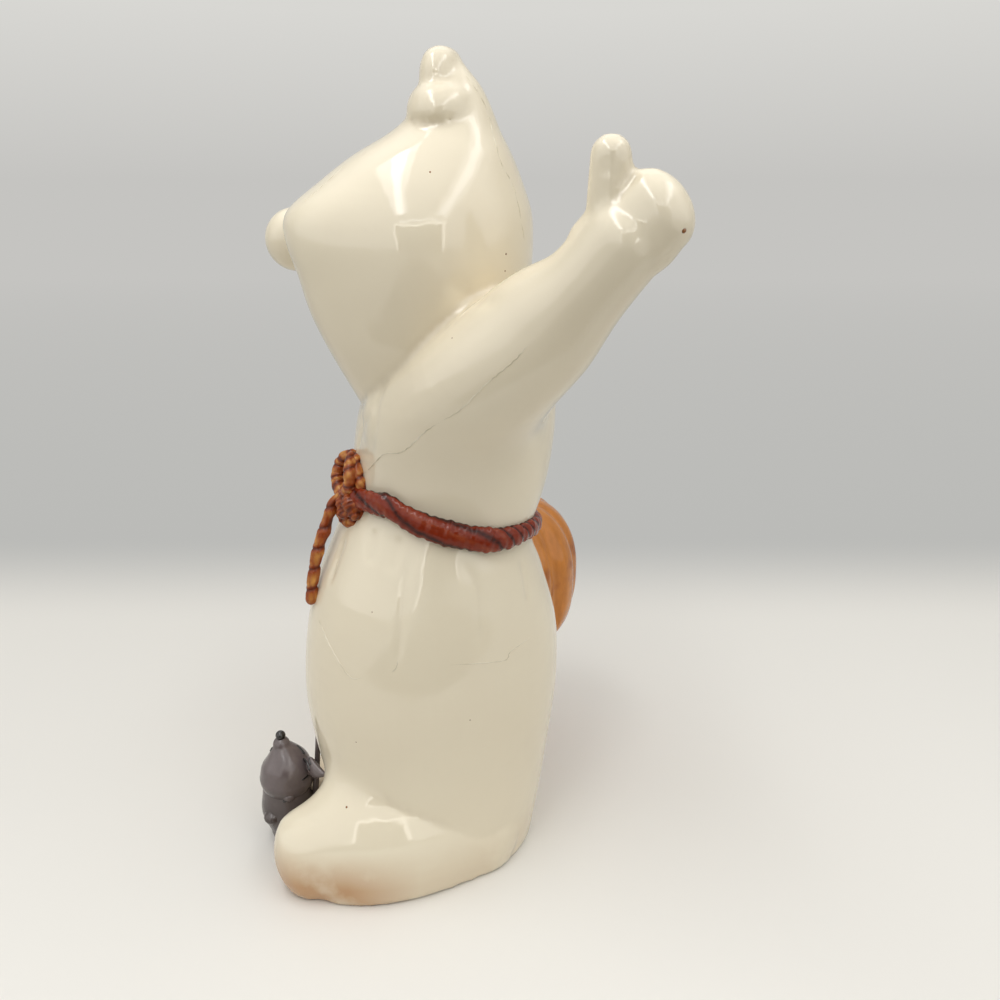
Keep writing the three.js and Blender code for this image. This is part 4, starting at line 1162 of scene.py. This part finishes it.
class FIGURINE_OT_mouse(bpy.types.Operator):
    """Sets the grey mouse between the feet"""

    bl_idname = "figurine.mouse"
    bl_label = "Mouse"

    def execute(self, context):
        material = mouse_glaze()

        def placed(rings):
            return [turned(np.array(ring), MOUSE_TURN) + MOUSE_PLACE for ring in rings]

        for name, form, node in (
            ("mouse_torso", MOUSE_BODY, "mouse_body"),
            ("mouse_cone", MOUSE_HEAD, "mouse_head"),
        ):
            shape = bmesh.new()
            stations = sized(form, (0, 0, 0), MOUSE_SIZE, MOUSE_WIDTH)
            loft(shape, placed(limb_rings(stations, 20, 40, True, over=(0, 1, 0))))
            stand_on_table(shape)
            new_piece(shape, name, material, (node,))
        for name, node, side, shift in MOUSE_EARS:
            low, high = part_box(node)
            shape = bmesh.new()
            centre = turned(np.array((low + high) / 2 / MM)[None], -MOUSE_TURN)[0] + shift
            ear = add_ball(shape, centre, EAR_SIZE, MOUSE_TURN)
            middle = turned(centre[None], MOUSE_TURN)[0]
            outward = turned(np.array(((side, 0.5, 0.2),)), MOUSE_TURN)[0]
            for vertex in ear:
                reach = float(np.dot(np.array(vertex.co) / MM - middle, outward)) / EAR_REACH
                if reach > 0:
                    vertex.co += Vector(outward * MM * EAR_TIP * reach**3)
                    above = vertex.co.z - middle[2] * MM
                    vertex.co.z -= above * EAR_NARROWING * min(1, reach)
            new_piece(shape, name, material, (node,))
        stations = [(*(np.array(at) * MOUSE_SIZE), radius, radius) for at, radius in MOUSE_TAIL]
        shape = bmesh.new()
        loft(shape, placed(limb_rings(stations, 40, 16, True, over=(0, 1, 0))))
        new_piece(shape, "tail", material, ("mouse_tail",))
        # A drop of black glaze, round and wet
        black, place = new_material("Black Glazed Nose")
        glazed(black, place, colour("1E1B1A"), 0.1, 2 * MM, 0.05 * MM)
        low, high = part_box("mouse_nose")
        shape = bmesh.new()
        add_ball(shape, (low + high) / 2 / MM, (3.7, 3.7, 3.7))
        new_piece(shape, "snout", black, ("mouse_nose",))
        shape = bmesh.new()
        torso = Clay(bpy.data.objects["mouse_torso"]).tree()
        for pixel, width in MOUSE_PAWS:
            at, normal = sight_meets(torso, *pixel)
            add_ball(shape, at - 0.2 * width * normal, (width, width, width * 0.8), segments=24)
        new_piece(shape, "paws", material)
        shape = bmesh.new()
        trees = [Clay(bpy.data.objects[name]).tree() for name in ("mouse_cone", "mouse_torso", "ear_left")]
        for pixels, width in MOUSE_STROKES:
            for shift in range(STROKE_SHIFTS):
                inward = math.copysign(shift, MOUSE_COLUMN - pixels[0][0])
                hits = [[sight_meets(tree, x + inward, y)[0] for tree in trees] for x, y in pixels]
                hits = [[at for at in row if at is not None] for row in hits]
                if all(hits):
                    break
            else:
                raise RuntimeError("A painted stroke misses the mouse")
            places = [min(row, key=lambda at: np.linalg.norm(at - CAMERA_PLACE)) for row in hits]
            stations = [(*at, width / 2, width / 2) for at in places]
            loft(shape, limb_rings(stations, 10, 10, True, over=tuple(-CAMERA_AHEAD)))
        new_piece(shape, "mouse_paint", black)
        return {"FINISHED"}


# The table, the light and the camera

LEVEL_AHEAD = Vector((CAMERA_AHEAD[0], CAMERA_AHEAD[1], 0)).normalized()
TENT_MIDDLE = Vector((0.03, 0, 0.635))
# The tent's lamps: metres to the right and to the front, width and height, watts
LAMPS = {
    "left_strip": (-0.168, 0.29, (0.06, 0.74), 1.0),
    "left_glow": (-0.168, 0.29, (0.14, 0.74), 0.85),
    "right_strip": (0.336, 0.32, (0.09, 0.8), 0.85),
    "right_glow": (0.336, 0.32, (0.2, 0.8), 0.7),
    "front_strip": (0.096, 0.8, (0.58, 0.03), 0.22),
}


def table_paper():
    """Matt white paper that lies on the table and, past a line behind the figurine, shows as the grey of a
    wall.
    """
    paper, place = new_material("Matt White Paper")
    # Metres from the photograph's camera, ahead and to the right
    moved = add_node(paper, "VectorMath", {0: place, 1: tuple(CAMERA_PLACE * MM)}, operation="SUBTRACT")
    reach, aside = (
        add_node(paper, "VectorMath", {0: moved, 1: tuple(axis)}, "Value", operation="DOT_PRODUCT")
        for axis in (LEVEL_AHEAD, CAMERA_RIGHT)
    )
    bend = add_node(paper, "MapRange", {0: reach, 1: 0.47, 2: 0.61}, interpolation_type="SMOOTHSTEP")
    far = within(paper, (reach, 0.6, 2.4))
    wall = add_node(paper, "Mix", {0: far, 6: colour("BBBBB8"), 7: colour("C5C4C1")}, **COLOUR_MIX)
    inputs = {"Base Color": colour("E4E2DD"), "Roughness": 0.6, "Specular IOR Level": 0.2}
    near = add_node(paper, "BsdfPrincipled", inputs)
    # Past the table's front edge the open front of the tent is dark to light and shine
    aside = add_node(paper, "Math", {0: aside, 1: 0.03}, operation="SUBTRACT")
    aside = add_node(paper, "Math", {0: aside}, operation="ABSOLUTE")
    seen = add_node(paper, "LightPath", output="Is Camera Ray")
    past = within(paper, (aside, 0.3, 0.28), (seen, 1, 0), (reach, 0.1, 0.09))
    dark = add_node(paper, "Emission", {"Color": colour("4A4845"), "Strength": 1.0})
    near = add_node(paper, "MixShader", {0: past, 1: near, 2: dark})
    backdrop = add_node(paper, "Emission", {"Color": wall, "Strength": 1.0})
    surface = add_node(paper, "MixShader", {0: bend, 1: near, 2: backdrop})
    add_node(paper, "OutputMaterial", {"Surface": surface})
    return paper


def light_tent():
    """A tent of white cloth, lit from outside, with a dark open front in a lit frame."""
    world = bpy.data.worlds.new("Light Tent")
    world.use_nodes = True
    world.node_tree.nodes.clear()
    sight = add_node(world, "TexCoord", output="Generated")
    height = add_node(world, "SeparateXYZ", {"Vector": sight}, "Z")
    front, aside = (
        add_node(world, "VectorMath", {0: sight, 1: tuple(axis)}, "Value", operation="DOT_PRODUCT")
        for axis in (-LEVEL_AHEAD, CAMERA_RIGHT)
    )
    aside = add_node(world, "Math", {0: aside, 1: 0.075}, operation="SUBTRACT")
    beside = add_node(world, "Math", {0: aside}, operation="ABSOLUTE")
    # Spans that go from outside the opening or its frame to inside: beside, above, below and forward
    forward = (front, 0.0, 0.05)
    opening = within(world, (beside, 0.345, 0.33), (height, 0.39, 0.375), (height, -0.32, -0.28), forward)
    frame = within(world, (beside, 0.375, 0.37), (height, 0.42, 0.415), (height, -0.37, -0.36), forward)
    frame = add_node(world, "Math", {0: frame, 1: opening}, operation="SUBTRACT")
    behind = within(world, (front, 0.1, -0.3), (height, 0.8, 0.5))
    # What the camera sees, what lights the figurine, and what its shine shows: shares and colours
    colours = (
        ("C5C4C1", (within(world, (height, 0.0, 0.15)), colour("D8D7D3"))),
        ("7C7B78", (within(world, (height, 0.1, 1.0)), colour("F6F5F2")), (opening, colour("5E5C58"))),
        ("F2F1EE", (opening, colour("201F1D")), (frame, (2.6, 2.5, 2.3, 1)), (behind, colour("8E8D8A"))),
    )
    shades = []
    for (first, *layers), strength in zip(colours, (1.0, 1.08, 2.0)):
        shade = colour(first)
        for share, paint in layers:
            shade = add_node(world, "Mix", {0: share, 6: shade, 7: paint}, **COLOUR_MIX)
        shades.append(add_node(world, "Background", {"Color": shade, "Strength": strength}))
    seen, light, shine = shades
    glossy, camera = (
        add_node(world, "LightPath", output=name) for name in ("Is Glossy Ray", "Is Camera Ray")
    )
    lit = add_node(world, "MixShader", {0: glossy, 1: light, 2: shine})
    surface = add_node(world, "MixShader", {0: camera, 1: lit, 2: seen})
    add_node(world, "OutputWorld", {"Surface": surface})
    return world


class FIGURINE_OT_stage(bpy.types.Operator):
    """Lays the pale table and sets the soft lights and the camera"""

    bl_idname = "figurine.stage"
    bl_label = "Stage"

    def execute(self, context):
        scene = context.scene
        shape = bmesh.new()
        bmesh.ops.create_grid(shape, x_segments=1, y_segments=1, size=30)
        mesh = bpy.data.meshes.new("table")
        shape.to_mesh(mesh)
        shape.free()
        mesh.materials.append(table_paper())
        table = bpy.data.objects.new("table", mesh)
        table.location = (0, 0, -0.0002)
        scene.collection.objects.link(table)
        scene.world = light_tent()
        right = Vector(CAMERA_RIGHT)
        for name, (side, front, size, power) in LAMPS.items():
            lamp = bpy.data.lights.new(name, "AREA")
            lamp.shape = "RECTANGLE"
            lamp.size, lamp.size_y = size
            lamp.energy = power
            holder = bpy.data.objects.new(name, lamp)
            holder.visible_camera = False
            axes = Matrix((right, LEVEL_AHEAD, Vector((0, 0, 1)))).transposed()
            place = TENT_MIDDLE + right * side - LEVEL_AHEAD * front
            holder.matrix_world = Matrix.Translation(place) @ axes.to_4x4()
            scene.collection.objects.link(holder)
        data = bpy.data.cameras.new("photo_camera")
        data.lens = CAMERA_FOCUS / PHOTO_SIZE * data.sensor_width
        data.clip_start = 0.01
        data.clip_end = 100
        camera = bpy.data.objects.new("photo_camera", data)
        axes = Matrix((right, Vector(CAMERA_UP), -Vector(CAMERA_AHEAD))).transposed()
        camera.matrix_world = Matrix.Translation(CAMERA_PLACE * MM) @ axes.to_4x4()
        scene.collection.objects.link(camera)
        scene.camera = camera
        scene.view_settings.view_transform = "Standard"
        return {"FINISHED"}


class FIGURINE_PT_parts(bpy.types.Panel):
    bl_idname = "FIGURINE_PT_parts"
    bl_label = "Ceramic Ghost"
    bl_space_type = "VIEW_3D"
    bl_region_type = "UI"
    bl_category = "Figurine"

    def draw(self, context):
        column = self.layout.column()
        for settings in (context.scene.figurine_sizes, context.scene.figurine_colours):
            for name in settings.__annotations__:
                column.prop(settings, name)
        for operator in OPERATORS:
            column.operator(operator.bl_idname)


OPERATORS = (
    FIGURINE_OT_ghost,
    FIGURINE_OT_flaws,
    FIGURINE_OT_nose,
    FIGURINE_OT_face,
    FIGURINE_OT_belt,
    FIGURINE_OT_bow,
    FIGURINE_OT_pumpkin,
    FIGURINE_OT_mouse,
    FIGURINE_OT_stage,
)
CLASSES = (FigurineSizes, FigurineColours, *OPERATORS, FIGURINE_PT_parts)


def register():
    for cls in CLASSES:
        bpy.utils.register_class(cls)
    bpy.types.Scene.figurine_sizes = bpy.props.PointerProperty(type=FigurineSizes)
    bpy.types.Scene.figurine_colours = bpy.props.PointerProperty(type=FigurineColours)


def unregister():
    del bpy.types.Scene.figurine_colours
    del bpy.types.Scene.figurine_sizes
    for cls in reversed(CLASSES):
        bpy.utils.unregister_class(cls)


def main():
    register()
    bpy.ops.figurine.ghost()
    bpy.ops.figurine.flaws()
    bpy.ops.figurine.nose()
    bpy.ops.figurine.face()
    bpy.ops.figurine.belt()
    bpy.ops.figurine.bow()
    bpy.ops.figurine.pumpkin()
    bpy.ops.figurine.mouse()
    bpy.ops.figurine.stage()


if __name__ == "__main__":
    main()
